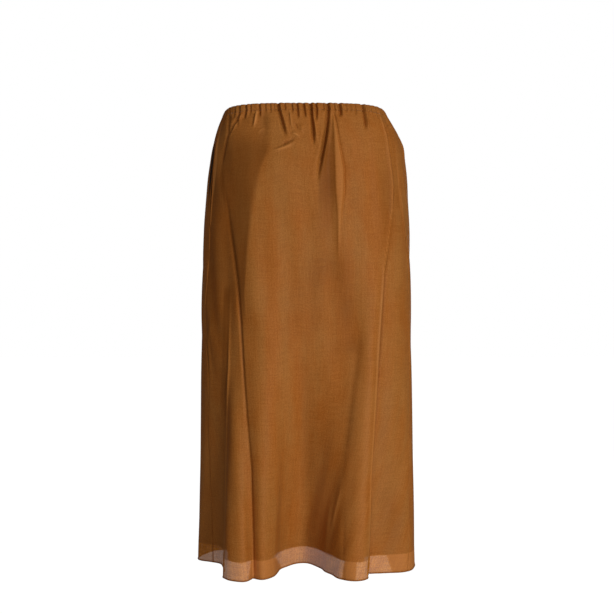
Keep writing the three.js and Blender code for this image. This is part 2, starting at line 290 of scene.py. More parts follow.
# %% Gathers
GATHER_COLUMNS = ("x", "foot_x", "foot_z", "depth", "half")
FRONT_GATHERS = [
    (-147, -156, -30, 2.2, 2.6), (-140, -146, -18, 2.5, 2.2), (-131, -134, -16, 2.7, 2.0),
    (-122, -128, -34, 2.8, 2.4), (-110, -115, -22, 4.2, 2.4), (-101, -104, -14, 1.7, 2.0),
    (-86, -87, -20, 4, 2.2), (-76, -75, -12, 1.6, 2.0), (-66, -66, -14, 1.9, 2.2), (-60, -58, -12, 1.9, 2.0),
    (-53, -38, -56, 8, 2.9), (-40, -39, -9, 2.3, 2.0), (-27, -26, -12, 2.7, 2.0), (-17.6, -16, -24, 4.6, 2.2),
    (-5.4, -3, -22, 4.6, 2.0), (7, 12, -74, 8, 2.6), (18, 16, -31, 4.8, 2.1), (28, 32, -9, 2.3, 2.0),
    (39, 16, -138, 8, 2.9), (50, 51, -12, 2.3, 2.0), (60.8, 61.5, -20, 7, 2.5), (72, 72, -12, 1.7, 2.2),
    (80, 80, -12, 1.6, 2.2), (88.5, 89.5, -17, 2.3, 2.1), (104, 108, -44, 7, 2.5), (113, 117, -14, 1.7, 2.4),
    (121, 126, -22, 1.9, 2.6), (130, 138, -26, 2, 2.6), (138, 148, -24, 2, 2.6), (146, 158, -36, 2.2, 3.0),
]
BACK_GATHERS = 34
BACK_SHIFT, BACK_SLANT = 0.28, 0.012
BACK_LONG_EVERY, BACK_LONG_FIRST = 6, 2
BACK_LONG = {"end": (70, 130), "depth": (4.6, 6.2)}
BACK_SHORT = {"end": (22, 62), "depth": (2.4, 4.2)}
BACK_HALF = (2.4, 3.4)
FOOT_WIDER = 0.15
GATHER_FOOT = 1.06
GATHER_FULL = 0.62
SIDE_RIDGE, SIDE_OFFSET = 0.34, 2.0


def front_gathers():
    """The table's rows, with their places as shares of the panel's width."""
    for row in FRONT_GATHERS:
        g = dict(zip(GATHER_COLUMNS, row))
        yield {"top": across_of("front", g["x"], 0), "foot": across_of("front", g["foot_x"], g["foot_z"]),
               "end": g["foot_z"] * GATHER_FOOT, "depth": g["depth"], "half": g["half"]}


def back_gathers():
    draw = random.Random(7)
    for n in range(BACK_GATHERS):
        top = (n + 0.5 + draw.uniform(-BACK_SHIFT, BACK_SHIFT)) / BACK_GATHERS
        kind = BACK_LONG if n % BACK_LONG_EVERY == BACK_LONG_FIRST else BACK_SHORT
        yield {"top": top, "foot": top + draw.uniform(-BACK_SLANT, BACK_SLANT),
               "end": -draw.uniform(*kind["end"]), "depth": draw.uniform(*kind["depth"]),
               "half": draw.uniform(*BACK_HALF)}


GATHERS = {"front": list(front_gathers()), "back": list(back_gathers())}


def ease(share):
    """From 0 to 1 with a soft start and a soft end."""
    s = np.clip(share, 0, 1)
    return s * s * (3 - 2 * s)


def gather_relief(panel, across, z, length):
    """Depth of the gathers below the casing, for a whole grid of points."""
    relief = np.zeros_like(across)
    for g in GATHERS[panel]:
        down = np.clip(z / g["end"], 0, 1)
        centre = g["top"] + (g["foot"] - g["top"]) * down
        half = g["half"] * (1 + FOOT_WIDER * down)
        away = (across - centre) * length / half
        valley = np.exp(-(away**2)) - SIDE_RIDGE * np.exp(-((away - SIDE_OFFSET) ** 2))
        fade = 1 - ease((down - GATHER_FULL) / (1 - GATHER_FULL))
        relief -= g["depth"] * valley * fade
    return relief


print(sum(len(g) for g in GATHERS.values()), "gathers")

# %% [markdown]
# ## Ridges, pleats and crinkles
# Apart from the gathers, the cloth has soft lines of its own: a narrow pleat right of the middle
# that tapers to a point, drag lines from the waist to the hips, thin pressed edges on the large
# folds, and a few crossing crinkles below the waist. Each is a short path in front view with a
# height, a width, and a taper at both ends, so it can be laid over any fold.

# %% Crease paths
CREASES = [
    # panel, name, path of (x, z), height, half width
    ("front", "beside the pleat", [(44, -10), (41, -60), (42, -130), (45, -200), (49, -285)], -4.0, 9.0),
    ("front", "beside the slanted gather", [(31, -30), (22, -80), (10, -130)], 1.6, 5.0),
    ("front", "long crease", [(-156, -120), (-146, -170), (-139, -219), (-131, -275), (-124, -330),
                              (-120, -390), (-118, -430), (-114, -500), (-109, -570), (-101, -661),
                              (-96, HEM)], -3.6, 2.3),
    ("front", "first fold, pressed edge", [(-139, -330), (-141, -400), (-143, -480), (-147, -572),
                                           (-151, -710), (-150, HEM)], 1.8, 2.0),
    ("front", "third fold, pressed edge", [(136, -14), (146, -50), (152, -93), (158, -140), (157, -186),
                                           (150, -245), (141, -305), (133, -416), (127, -525),
                                           (118, -662), (112, HEM)], 2.8, 1.9),
    ("front", "third fold, shadow", [(161, -186), (154, -245), (145, -305), (137, -416), (131, -525),
                                     (122, -662), (116, HEM)], -4.2, 2.2),
    ("front", "beside the third fold", [(102, -385), (90, -470), (78, -560), (68, -640), (62, -720)],
     -1.4, 6.0),
    ("front", "third fold, thin line", [(66, -690), (54, -735), (46, -780), (42, -800)], 1.4, 3.0),
    ("front", "third fold, low line", [(68, -735), (66, -790), (66, HEM)], -0.8, 3.6),
    ("front", "soft ridge", [(-20, -470), (-22, -560), (-20, -690)], 2.4, 16.0),
    ("front", "soft hollow", [(-4, -400), (-6, -560), (-4, -760)], -2.0, 16.0),
    ("front", "low dart", [(28, -735), (24, -790), (22, HEM)], -1.2, 9.0),
    ("front", "low ridge", [(48, -700), (40, -770), (36, HEM)], 2.0, 6.0),
    ("front", "left drag crease", [(-142, -14), (-144, -32), (-145, -46), (-148, -60), (-151, -74),
                                   (-154, -88), (-157, -112)], -3.2, 2.3),
    ("front", "left drag crease, branch", [(-124, -14), (-134, -30), (-140, -42), (-145, -54)], -3.0, 3.0),
    ("front", "left drag ridge", [(-119, -14), (-131, -34), (-137, -43), (-142, -56)], 1.9, 1.9),
    ("front", "light gather", [(-91, -7), (-91, -12), (-93, -26), (-98, -42)], 4.0, 2.2),
    ("front", "beside the light gather", [(-79, -8), (-77, -40), (-72, -84)], -2.6, 8.0),
    ("front", "faint line", [(-75, -39), (-84, -45), (-92, -50)], 1.2, 1.6),
    ("front", "light fold", [(-30, -7), (-29, -17), (-27, -36), (-24, -40), (-18, -45)], 2.8, 1.9),
    ("front", "light fold, shade", [(-22, -32), (-18, -39), (-15, -46)], -3.0, 1.9),
    ("front", "thin ridge", [(12.5, -8), (13, -22), (16, -36), (19, -54), (21, -66)], 2.0, 1.7),
    ("front", "right bend", [(148, -34), (156, -30), (163, -35), (168, -44)], 1.4, 2.4),
    ("front", "right soft streak", [(112, -20), (116, -110), (118, -230)], -1.6, 7.0),
    ("front", "crinkle", [(-62, -82), (-50, -80), (-38, -76), (-26, -70), (-18, -64)], 4.0, 2.4),
    ("front", "crinkle, shade", [(-45, -73), (-39, -68), (-30, -65), (-22, -61), (-18, -57)], -4.6, 1.6),
    ("front", "crinkle, upper", [(-28, -51), (-21, -52), (-15, -55), (-10, -59)], 3.8, 2.0),
    ("front", "crinkle, corner", [(-13, -33), (-8, -42), (-9, -54)], 1.8, 3.0),
    ("front", "pleat, right shadow", [(49, -12), (53.5, -28), (56, -42), (58.5, -58), (61.5, -74), (69, -112),
                                      (69.5, -150), (65.5, -192), (60, -270)], -2.2, 1.8),
    ("front", "left crease", [(-186, -420), (-188, -600), (-186, HEM)], -4.0, 2.6),
    ("front", "left pucker", [(-190, -400), (-184, -440), (-178, -520)], 1.4, 3.0),
    ("front", "left pucker 2", [(-176, -390), (-184, -430), (-190, -450)], 1.2, 2.6),
    ("back", "pleat", [(-40, -8), (-46, -80), (-56, -160), (-58, -250)], 5.0, 6.0),
    ("back", "beside the pleat", [(-28, -20), (-32, -120), (-42, -230)], -5.0, 9.0),
    ("back", "slanted gather", [(66, -8), (60, -60), (48, -140)], -5.0, 4.0),
    ("back", "drag crease", [(118, -14), (136, -60), (150, -130)], -3.2, 3.0),
    ("back", "drag ridge", [(112, -20), (129, -66), (142, -134)], 2.0, 4.0),
    ("back", "drag crease 2", [(-112, -14), (-132, -62), (-150, -150)], -3.0, 3.0),
    ("back", "soft ridge", [(20, -430), (12, -600), (4, -760)], 2.6, 16.0),
    ("back", "soft hollow", [(96, -360), (92, -520), (88, -700)], -2.6, 15.0),
    ("back", "fold crease", [(-92, -330), (-98, -500), (-104, -680), (-106, HEM)], -4.0, 3.6),
    ("back", "fold crease 2", [(150, -300), (146, -480), (140, -680), (136, HEM)], -3.6, 3.6),
    ("back", "fold edge", [(60, -360), (66, -520), (70, -700), (70, HEM)], 1.6, 2.6),
    ("back", "crinkle", [(18, -66), (34, -60), (48, -70)], 1.8, 2.4),
    ("back", "crinkle, shade", [(20, -60), (34, -54), (46, -63)], -2.0, 2.0),
    ("back", "crinkle 2", [(-104, -92), (-90, -84), (-74, -90)], 1.6, 2.6),
]
OPEN_WAIST = -20
FADE_IN, FADE_OUT = 0.3, 0.55
BROAD = 12.0
SLOPES = [
    # panel, foot line (x, z), top line (x, z), height: cloth that rises from a crease to a soft edge
    ("front", [(-150, -50), (-156, -120), (-139, -219), (-124, -330), (-117, -430)],
     [(-58, -50), (-79, -105), (-91, -136), (-101, -190), (-105, -258), (-110, -349), (-108, -430)], 7.5),
    ("back", [(-140, -60), (-146, -160), (-136, -280), (-124, -420)],
     [(-70, -60), (-92, -160), (-100, -280), (-108, -420)], 5.0),
    ("back", [(150, -70), (152, -180), (140, -300), (130, -400)],
     [(78, -70), (96, -180), (108, -300), (116, -400)], 5.0),
]
SLOPE_RUNS_ON, SLOPE_FADES_IN, SLOPE_FADES_OUT = 60.0, 70, 110
PLEATS = [
    # panel, left edge (x, z), right edge (x, z), height
    ("front", [(47, -6), (50, -73), (52.5, -154), (56, -200), (56, -290)],
     [(48, -6), (51, -28), (57.5, -68), (67, -118), (67, -154), (63, -192), (57, -290)], 2.2),
    ("back", [(-44, -6), (-52, -90), (-66, -150), (-58, -260)],
     [(-42, -6), (-44, -90), (-50, -150), (-56, -260)], 3.0),
]
PLEAT_STEP, PLEAT_FADE = 1.5, 40


def path_relief(points, path, height, half):
    """A soft ridge (or hollow) along a path in front view, tapered at both ends."""
    knots = np.array(path, float)
    starts, ends = knots[:-1], knots[1:]
    spans = np.linalg.norm(ends - starts, axis=1)
    before = np.concatenate([[0], np.cumsum(spans)])
    nearest = np.full(points.shape[:-1], 1e9)
    along = np.zeros(points.shape[:-1])
    for start, end, span, travelled in zip(starts, ends, spans, before):
        share = np.clip(((points - start) @ (end - start)) / span**2, 0, 1)
        away = np.linalg.norm(points - (start + share[..., None] * (end - start)), axis=-1)
        closer = away < nearest
        nearest = np.where(closer, away, nearest)
        along = np.where(closer, (travelled + share * span) / before[-1], along)
    open_hem = path[-1][1] <= HEM
    open_waist = path[0][1] > OPEN_WAIST
    fade_in = 1 if open_waist else ease(along / FADE_IN)
    fade_out = 1 if open_hem else ease((1 - along) / FADE_OUT)
    return height * np.exp(-((nearest / half) ** 2)) * fade_in * fade_out


def pleat_relief(x, z, left, right, height):
    """A narrow raised strip between two edges that meet at its top and its foot."""
    edges = []
    for edge in (left, right):
        knots = np.array(edge, float)[::-1]
        edges.append(np.interp(z, knots[:, 1], knots[:, 0]))
    step = lambda away: 0.5 + 0.5 * np.tanh(away / PLEAT_STEP)
    top, foot = left[0][1], left[-1][1]
    inside = np.where((z < top) & (z > foot), 1, 0) * ease((z - foot) / PLEAT_FADE)
    return height * inside * (step(x - edges[0]) - step(x - edges[1]))


def slope_relief(x, z, foot, top, height):
    """Cloth that rises evenly from its foot line to its top line, and sinks gently beyond it."""
    lines = []
    for line in (foot, top):
        knots = np.array(line, float)[::-1]
        lines.append(np.interp(z, knots[:, 1], knots[:, 0]))
    share = np.clip((x - lines[0]) / (lines[1] - lines[0]), 0, 1)
    past = np.maximum((x - lines[1]) * np.sign(lines[1] - lines[0]), 0)
    beyond = np.exp(-((past / SLOPE_RUNS_ON) ** 2))
    first, last = foot[0][1], foot[-1][1]
    fade = ease((first - z) / SLOPE_FADES_IN) * ease((z - last) / SLOPE_FADES_OUT)
    return height * share * beyond * fade


def crease_relief(panel, x, z, narrowest=0.0):
    """All the creases of a panel, or only the broad ones, which the inner layers follow too."""
    points = np.stack([x, z], -1)
    relief = np.zeros_like(x)
    for side, _, path, height, half in CREASES:
        if side == panel and half >= narrowest:
            relief += path_relief(points, path, height, half)
    relief += sum(slope_relief(x, z, *row[1:]) for row in SLOPES if row[0] == panel)
    if narrowest == 0:
        relief += sum(pleat_relief(x, z, *row[1:]) for row in PLEATS if row[0] == panel)
    return relief


print(len(CREASES), "creases")

# %% [markdown]
# ## Hanging a flat panel
# A panel starts as what it is: a flat woven rectangle, here a grid with its own pattern lines. Each
# of its points is then hung where that thread lies on the form, moved out or in by the gathers and
# creases. The pattern lines keep their true size in metres, so that the weave is as fine at the hem
# as at the waist, and a Solidify modifier gives the sheet its thickness.

# %% Hanging
MOUTH_TOP, MOUTH_FOOT, MOUTH_GAPE = -48.0, -214.0, 9.0
MOUTH_LIFT, MOUTH_LIFT_WIDE = 0.8, 9.0
MOUTH_DROP, MOUTH_DROP_WIDE = 1.5, 8.0
HEM_RISE = ([0, 0.2, 0.3, 0.55, 0.75, 1], [4, 1, 0, 4, 0, 0])
ROW_SHARES, ROW_DEPTHS = (0, 0.36, 0.5, 0.94, 1), (0, 0.105, 0.215, 0.96, 1)
RIPPLE, RIPPLE_WAVES, RIPPLE_BEND = 0.45, 7, 0.7
RIPPLE_SEEDS = {"front": 3, "back": 5}
CREASES_FROM, RIPPLES_FROM = 12, 90
LINING_FOLLOWS = 0.55
SAME_PLACE = 1e-6


def mouth_open(z):
    """How open the pocket's mouth is at height z, from 0 to 1."""
    share = np.clip((z - MOUTH_TOP) / (MOUTH_FOOT - MOUTH_TOP), 0, 1)
    return np.sin(np.pi * share)


def mouth_relief(panel, across, z, length):
    """The front edge of the mouth stands away from the body, and the back edge lies close to it."""
    if panel == "front":
        return MOUTH_LIFT * mouth_open(z) * np.exp(-across * length / MOUTH_LIFT_WIDE)
    return -MOUTH_DROP * mouth_open(z) * np.exp(-(1 - across) * length / MOUTH_DROP_WIDE)


def hem_rise(panel, across, z):
    """How far the hem is drawn up, which fades out above the knee."""
    low = ease((z - KNEE) / (HEM - KNEE))
    if panel == "front":
        return low * np.interp(across, *HEM_RISE)
    return low * HEM_RISE[1][0] * across


def ripples(seed, across, z, length):
    """Slow unevenness of a hung cloth, as a few long waves with seeded phases."""
    draw = random.Random(seed)
    total = np.zeros_like(across)
    for _ in range(RIPPLE_WAVES):
        wide, tall = draw.uniform(26, 80), draw.uniform(120, 420)
        turn = 2 * math.pi * (across * length / wide + z / tall) + draw.uniform(0, 2 * math.pi)
        total += np.sin(turn + RIPPLE_BEND * np.sin(z / draw.uniform(60, 140)))
    return RIPPLE * total / 2


def hang_grid(panel, columns, rows, top, foot, inward=None, gap=SEAM_GAP, dressed=True):
    """Points of a hung panel, with the flat place of each thread, row by row from the top."""
    heights = top + (foot - top) * np.interp(np.arange(rows + 1) / rows, ROW_SHARES, ROW_DEPTHS)
    share = np.arange(columns + 1) / columns
    grid = np.zeros((rows + 1, columns + 1, 3))
    outs = np.zeros_like(grid)
    lengths = np.zeros(rows + 1)
    for row, z in enumerate(heights):
        start, end = panel_ends(panel, z, gap)
        if panel == "back" and dressed:
            end -= MOUTH_GAPE * mouth_open(z)
        points, out = walk(z, start + (end - start) * share)
        grid[row, :, :2], outs[row, :, :2] = points, out
        lengths[row] = end - start
    across = np.broadcast_to(share, grid.shape[:2])
    z = np.broadcast_to(heights[:, None], across.shape)
    long = lengths[:, None]
    if dressed:
        relief = gather_relief(panel, across, z, long)
        relief += crease_relief(panel, grid[..., 0], z) * ease((top - z) / CREASES_FROM)
        relief += mouth_relief(panel, across, z, long)
        relief += ripples(RIPPLE_SEEDS[panel], across, z, long) * ease((top - z) / RIPPLES_FROM)
    else:
        relief = LINING_FOLLOWS * gather_relief(panel, across, z, long)
        relief += crease_relief(panel, grid[..., 0], z, narrowest=BROAD)
    if inward is not None:
        relief = relief - inward(z)
    grid += outs * relief[..., None]
    grid[..., 2] = z + hem_rise(panel, across, z)
    return grid, outs


def flat_pattern(grid):
    """Width and length of the flat cloth at each point, in metres."""
    steps = np.linalg.norm(np.diff(grid, axis=1), axis=2)
    wide = np.concatenate([np.zeros((len(grid), 1)), np.cumsum(steps, axis=1)], 1)
    wide -= wide[:, -1:] / 2
    drops = np.linalg.norm(np.diff(grid, axis=0), axis=2)
    down = np.concatenate([np.zeros((1, grid.shape[1])), np.cumsum(drops, axis=0)], 0)
    return np.stack([wide, -down], -1) * MM


def write_uv(bm, uv, flat):
    """Each corner of the mesh gets its place on the flat cloth, in metres."""
    for face in bm.faces:
        for loop in face.loops:
            loop[uv].uv = flat[loop.vert]


def piece_from(bm, name):
    """A finished object from a bmesh. It hangs from the part's one body."""
    mesh = bpy.data.meshes.new(name)
    bm.to_mesh(mesh)
    bm.free()
    mesh.shade_smooth()
    piece = bpy.data.objects.new(name, mesh)
    bpy.context.scene.collection.objects.link(piece)
    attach(piece, "root")
    return piece


def sheet_mesh(grid):
    """A flat grid whose points are moved to their hung places, with its flat pattern as its UV."""
    rows, columns = grid.shape[0] - 1, grid.shape[1] - 1
    bm = bmesh.new()
    uv = bm.loops.layers.uv.new("UVMap")
    above_hem = bm.verts.layers.float.new("above_hem")
    bmesh.ops.create_grid(bm, x_segments=columns, y_segments=rows, size=1)
    pattern = flat_pattern(grid)
    flat = {}
    for vert in bm.verts:
        column = round((vert.co.x + 1) / 2 * columns)
        row = round((1 - vert.co.y) / 2 * rows)
        flat[vert] = pattern[row, column]
        vert[above_hem] = pattern[row, column, 1] - pattern[-1, column, 1]
        vert.co = grid[row, column] * MM
    write_uv(bm, uv, flat)
    return bm


def cloth(name, grid, closed_ring=False, inner_slot=0):
    """A sheet of cloth with its thickness. inner_slot is the material slot of its inner face."""
    bm = sheet_mesh(grid)
    if closed_ring:
        bmesh.ops.remove_doubles(bm, verts=bm.verts, dist=SAME_PLACE)
    piece = piece_from(bm, name)
    shell = piece.modifiers.new("cloth", "SOLIDIFY")
    shell.thickness, shell.offset, shell.material_offset = CLOTH_THICK * MM, -1, inner_slot
    print(name, len(piece.data.polygons), "faces")
    return piece


print("pocket mouth", MOUTH_TOP - MOUTH_FOOT, "mm long")

# %% [markdown]
# ## Outer panels
# The front and the back are hung from the casing and meet at the side seams. On the left the seam
# stands open as the pocket's mouth: the back panel's edge is drawn back there, and the front one
# stands a little away. The back of each sheet gets a material slot of its own, because the inside
# is seen against the light.

# %% Outer panels
OUTER_COLUMNS, OUTER_ROWS = {"front": 400, "back": 390}, 120
outer_grids = {side: hang_grid(side, columns, OUTER_ROWS, PANEL_TOP, HEM)
               for side, columns in OUTER_COLUMNS.items()}
outer = {side: cloth("outer_" + side + "_cloth", grid, inner_slot=1)
         for side, (grid, _) in outer_grids.items()}
for side in outer:
    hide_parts("outer_" + side)

# %% [markdown]
# ## Painted shade and light
# Voile is half sheer, so wherever a pocket bag or a crease of the lining lies behind it, it looks a
# little darker. That is painted on as numbers stored on the mesh for the finish to read, and so are
# painted shade in hollows and beside folds, and painted light on pressed edges and lit strips. The
# tables hold soft ovals, long zones between two lines, and thin lines where a fold is pressed and
# catches the light or lies in its own shade. A last line is the painted shadow in the slit of the
# open pocket, on the edge of the back panel. Above 0 a place is painted darker, and below 0 paler.

# %% Patches, zones and lines
PATCHES = [
    # panel, x, z, half width, half height, strength: above 0 painted shade in hollows and beside folds, and
    # in places the lining's creases seen through; below 0 painted light
    ("front", 36, -196, 18, 50, 0.42), ("front", 16, -316, 18, 40, 0.28), ("front", 66, -312, 18, 44, 0.36),
    ("front", 40, -290, 24, 24, 0.2), ("front", 72, -378, 17, 40, 0.46), ("front", 86, -434, 17, 17, 0.34),
    ("front", 62, -438, 18, 20, 0.22), ("front", 0, -600, 14, 120, 0.22), ("front", 150, -170, 24, 90, 0.28),
    ("front", -17, -360, 14, 60, 0.14), ("front", 31, -740, 16, 70, -0.38),
    ("front", -112, -22, 12, 10, 0.14), ("front", -78, -34, 9, 30, 0.32), ("front", 38, -100, 9, 56, 0.2),
    ("front", -112, -66, 20, 22, 0.12), ("front", 12, -390, 16, 36, 0.2), ("front", 160, -760, 18, 44, 0.25),
    ("back", 44, -200, 18, 60, 0.4), ("back", -20, -330, 20, 46, 0.35), ("back", -64, -420, 16, 60, 0.3),
    ("back", 20, -560, 16, 110, 0.3), ("back", 84, -640, 16, 90, 0.3), ("back", -110, -600, 14, 80, 0.25),
]
ZONES = [
    # panel, left line (x, z), right line (x, z), edge width, end width, strength (above 0 painted shade, and
    # the left pocket bag seen through; below 0 painted light)
    ("front",
     [(-146, -30), (-155, -71), (-159, -108), (-156, -150), (-144, -200), (-131, -275), (-121, -376)],
     [(-82, -30), (-69, -72), (-71, -86), (-84, -116), (-91, -151), (-100, -203), (-107, -266),
      (-114, -376)], 9.0, 60, 0.5),
    ("front", [(-164, -96), (-174, -150), (-184, -220), (-198, -300), (-210, -400), (-210, -520)],
     [(-152, -96), (-151, -150), (-140, -219), (-132, -275), (-126, -330), (-132, -400), (-144, -520)],
     6.0, 50, 0.45),
    ("front", [(-152, -320), (-154, -400), (-157, -480), (-162, -600)],
     [(-140, -320), (-142, -400), (-144, -480), (-149, -600)], 5.0, 20, 0.4),
    ("front", [(-210, -560), (-210, HEM)], [(-158, -560), (-152, HEM - 200)], 10.0, 80, -0.22),
    ("front", [(92, -470), (78, -620), (66, -760), (60, HEM)],
     [(122, -470), (112, -620), (104, -760), (100, HEM)], 12.0, 70, -0.16),
    ("front", [(40, -20), (32, -47), (27, -76), (22, -110), (22, -200)],
     [(45, -20), (49, -60), (51, -110), (53, -200)], 4.5, 16, 0.4),
    ("front", [(50, -16), (50.5, -73), (53, -154), (56.5, -200), (56.5, -290)],
     [(51.5, -28), (58, -68), (67.5, -118), (67.5, -154), (63.5, -192), (57.5, -290)], 1.5, 10, -0.36),
    ("front", [(-159, -14), (-164, -33), (-167, -46), (-173, -71), (-177, -108), (-180, -140), (-183, -195)],
     [(-155.5, -14), (-159.7, -33), (-162, -46), (-165, -71), (-167, -108), (-170.4, -140), (-178, -195)],
     1.8, 10, -1.1),
    ("back", [(-216, -560), (-216, HEM)], [(-176, -560), (-176, HEM)], 8.0, 80, -0.25),
    ("back", [(-140, -50), (-150, -120), (-140, -240), (-128, -360)],
     [(-72, -50), (-86, -104), (-104, -203), (-114, -360)], 16.0, 60, 0.22),
    ("back", [(70, -50), (84, -104), (102, -203), (112, -360)],
     [(140, -50), (150, -120), (140, -240), (128, -360)], 16.0, 60, 0.22),
]
TINTS = [
    # panel, path (x, z), strength, half width: painted highlights on pressed lines that catch the light
    # (below 0, paler), and painted shadows along creases (above 0, darker)
    ("front", [(-152, -140), (-146, -170), (-139, -219), (-131, -275), (-124, -330), (-120, -390),
               (-118, -430), (-114, -500), (-109, -570)], 0.6, 1.8),
    ("front", [(-47, -74), (-39, -68), (-30, -65), (-22, -61), (-17, -57)], 0.65, 1.2),
    ("front", [(-62, -83), (-50, -81), (-38, -77), (-26, -71), (-17, -65)], -0.7, 1.7),
    ("front", [(-28, -51), (-21, -52), (-15, -55), (-10, -59)], -0.8, 1.8),
    ("front", [(-177, -134), (-179, -190), (-181.5, -238), (-185, -285), (-189, -352)], -0.6, 1.8),
    ("front", [(-90, -10), (-92, -24), (-97, -42)], -0.9, 1.8),
    ("front", [(-30, -8), (-29, -17), (-27, -36), (-24, -40), (-18, -45)], -0.5, 1.5),
    ("front", [(12.5, -8), (13, -22), (16, -36), (19, -54), (21, -66)], -0.45, 1.3),
    ("front", [(-75, -39), (-84, -45), (-92, -50)], -0.35, 1.2),
    ("front", [(-119, -14), (-131, -34), (-137, -43), (-142, -56)], -0.3, 1.3),
    ("front", [(-142, -14), (-144, -32), (-145, -46), (-148, -60), (-151, -74), (-154, -88), (-157, -112)],
     0.35, 1.8),
    ("front", [(136, -14), (146, -50), (152, -93), (158, -140), (157, -186), (150, -245), (141, -305),
               (133, -416), (127, -525), (118, -662), (112, HEM)], -0.45, 1.3),
    ("front", [(160, -186), (153, -245), (144, -305), (136.5, -416), (130.5, -525), (124, -620)], 0.45, 1.6),
    ("front", [(163, -60), (170, -120), (173, -166), (180, -212), (186, -240)], -0.5, 1.4),
    ("front", [(150, -34), (157, -31), (163, -36), (167, -46)], -0.4, 1.3),
    ("front", [(-139, -320), (-141, -400), (-143, -480), (-147, -572), (-151, -710), (-150, HEM)], -0.4, 1.4),
    ("front", [(102, -385), (90, -470), (78, -560), (68, -640), (62, -720)], 0.2, 7.0),
    ("front", [(66, -690), (54, -735), (46, -780), (42, -800)], -0.35, 1.6),
    ("back", [(-104, -92), (-90, -84), (-74, -90)], 0.6, 1.6),
    ("back", [(60, -360), (66, -520), (70, -700), (70, HEM)], -0.35, 1.5),
]
# the painted shadow in the pocket's slit, as a path of (x, z), on the part of the back panel that lies in
# front of the side
SLIT_SHADOW = [(-168, -40), (-174, -64), (-176, -84), (-178, -103), (-181, -135), (-183, -160), (-185, -190)]
SLIT_DARK, SLIT_HALF, SLIT_ENDS = 2.8, 2.3, 10
ZONE_FADES_OUT = 0.35
WARMTH = [
    # panel, x, z, half width, half height, strength: where the threads look rust, or (below 0) ochre
    ("front", 38, -170, 14, 60, 0.5), ("front", 62, -330, 16, 50, 0.35),
    ("front", 122, -190, 13, 130, 0.7), ("front", 60, -150, 7, 90, 0.5), ("front", -62, -390, 10, 230, 0.75),
    ("front", -17, -250, 9, 70, 0.5), ("front", -14, -520, 8, 170, 0.45), ("front", 152, -180, 20, 90, 0.4),
    ("front", 124, -430, 9, 140, 0.3), ("front", 172, -360, 16, 230, -0.3), ("front", 20, -250, 22, 60, -0.3),
    ("front", 92, -180, 12, 120, -0.4), ("front", -50, -160, 20, 60, -0.3),
    ("front", 150, -650, 16, 160, -0.3),
    ("front", -40, -420, 10, 200, -0.3), ("front", -84, -420, 9, 200, -0.3),
    ("back", -70, -260, 14, 150, 0.6), ("back", 30, -420, 12, 120, 0.5), ("back", 110, -320, 12, 140, 0.4),
    ("back", -20, -600, 14, 140, -0.5), ("back", 70, -180, 14, 120, -0.4),
]


def zone_sum(panel, places):
    """Zones between two lines, soft at their edges and at both ends."""
    total = np.zeros(len(places))
    x, z = places[:, 0], places[:, 2]
    for side, left, right, edge, end, strength in ZONES:
        if side == panel:
            knots = [np.array(line, float)[::-1] for line in (left, right)]
            lines = [np.interp(z, line[:, 1], line[:, 0]) for line in knots]
            inside = ease((x - lines[0]) / edge + 0.5) * ease((lines[1] - x) / edge + 0.5)
            top, foot = left[0][1], left[-1][1]
            fade = ease((top - z) / end) * ease((z - foot) / (ZONE_FADES_OUT * (top - foot)))
            total += strength * inside * fade
    return total


def oval_sum(table, panel, places):
    total = np.zeros(len(places))
    for side, x, z, wide, tall, strength in table:
        if side == panel:
            away = ((places[:, 0] - x) / wide) ** 2 + ((places[:, 2] - z) / tall) ** 2
            total += strength * np.exp(-away)
    return total


print(len(PATCHES), "patches,", len(ZONES), "zones,", len(TINTS), "lines,", len(WARMTH), "warm places")

# %% [markdown]
# ## Storing them on the cloth
# Below the lining the outer cloth hangs alone, and its finish paints it paler there, as light that
# comes through a single layer, except where a layer of it is folded over and it lies double. Those
# stretches of the hem are a last table. Everything is then stored as three named numbers at each
# point of the mesh, which a finish can read by name.

# %% Stored numbers
FOLDED = [
    # panel, from x, to x, slants of both edges: stretches of the hem that lie double
    ("front", -214, -198, 0, 14), ("front", -106, -44, 4, -10), ("front", 62, 90, 5, 2),
    ("front", 158, 216, -10, 0), ("back", -150, -118, 6, -6), ("back", -40, 6, 4, 8),
    ("back", 96, 140, -6, 6), ("back", 180, 216, 8, 0),
]
FOLD_EDGE, FOLD_SLANT_ENDS = 4.0, 1.4
FOLD_TOP, FOLD_TOP_SOFT = LINING_HEM + 14, 6


def store_patches(piece, panel):
    """Stores the painted shade and light, how warm, and how double the cloth looks at each point of the mesh.
    """
    corners = np.array([vert.co for vert in piece.data.vertices]) / MM
    double = np.zeros(len(corners))
    up = np.clip((corners[:, 2] - HEM) / (LINING_HEM - HEM), 0, FOLD_SLANT_ENDS)
    for side, first, last, first_slant, last_slant in FOLDED:
        if side == panel:
            inside = (corners[:, 0] - first - first_slant * up, last + last_slant * up - corners[:, 0])
            double += ease(inside[0] / FOLD_EDGE) * ease(inside[1] / FOLD_EDGE)
    double *= ease((FOLD_TOP - corners[:, 2]) / FOLD_TOP_SOFT)
    shade = oval_sum(PATCHES, panel, corners) + zone_sum(panel, corners)
    for side, path, strength, half in TINTS:
        if side == panel:
            shade += path_relief(corners[:, [0, 2]], path, strength, half)
    # The painted shadow in the pocket's slit, on the back panel's edge in front of the side.
    if panel == "back":
        before_side = ease((SLIT_ENDS - corners[:, 1]) / SLIT_ENDS)
        shade += before_side * path_relief(corners[:, [0, 2]], SLIT_SHADOW, SLIT_DARK, SLIT_HALF)
    layers = {"shade": shade, "warm": oval_sum(WARMTH, panel, corners), "double": double}
    for name, values in layers.items():
        layer = piece.data.attributes.new(name, "FLOAT", "POINT")
        layer.data.foreach_set("value", values)


for side in outer:
    store_patches(outer[side], side)
print(len(FOLDED), "stretches of the hem lie double")

# %% [markdown]
# ## Lining
# The lining hangs a few millimetres inside the outer cloth and stops short of its hem, which shows
# as a darker edge through the voile. It is plainer: it follows the outer cloth's gathers only in
# part, and of the creases only the broad ones.

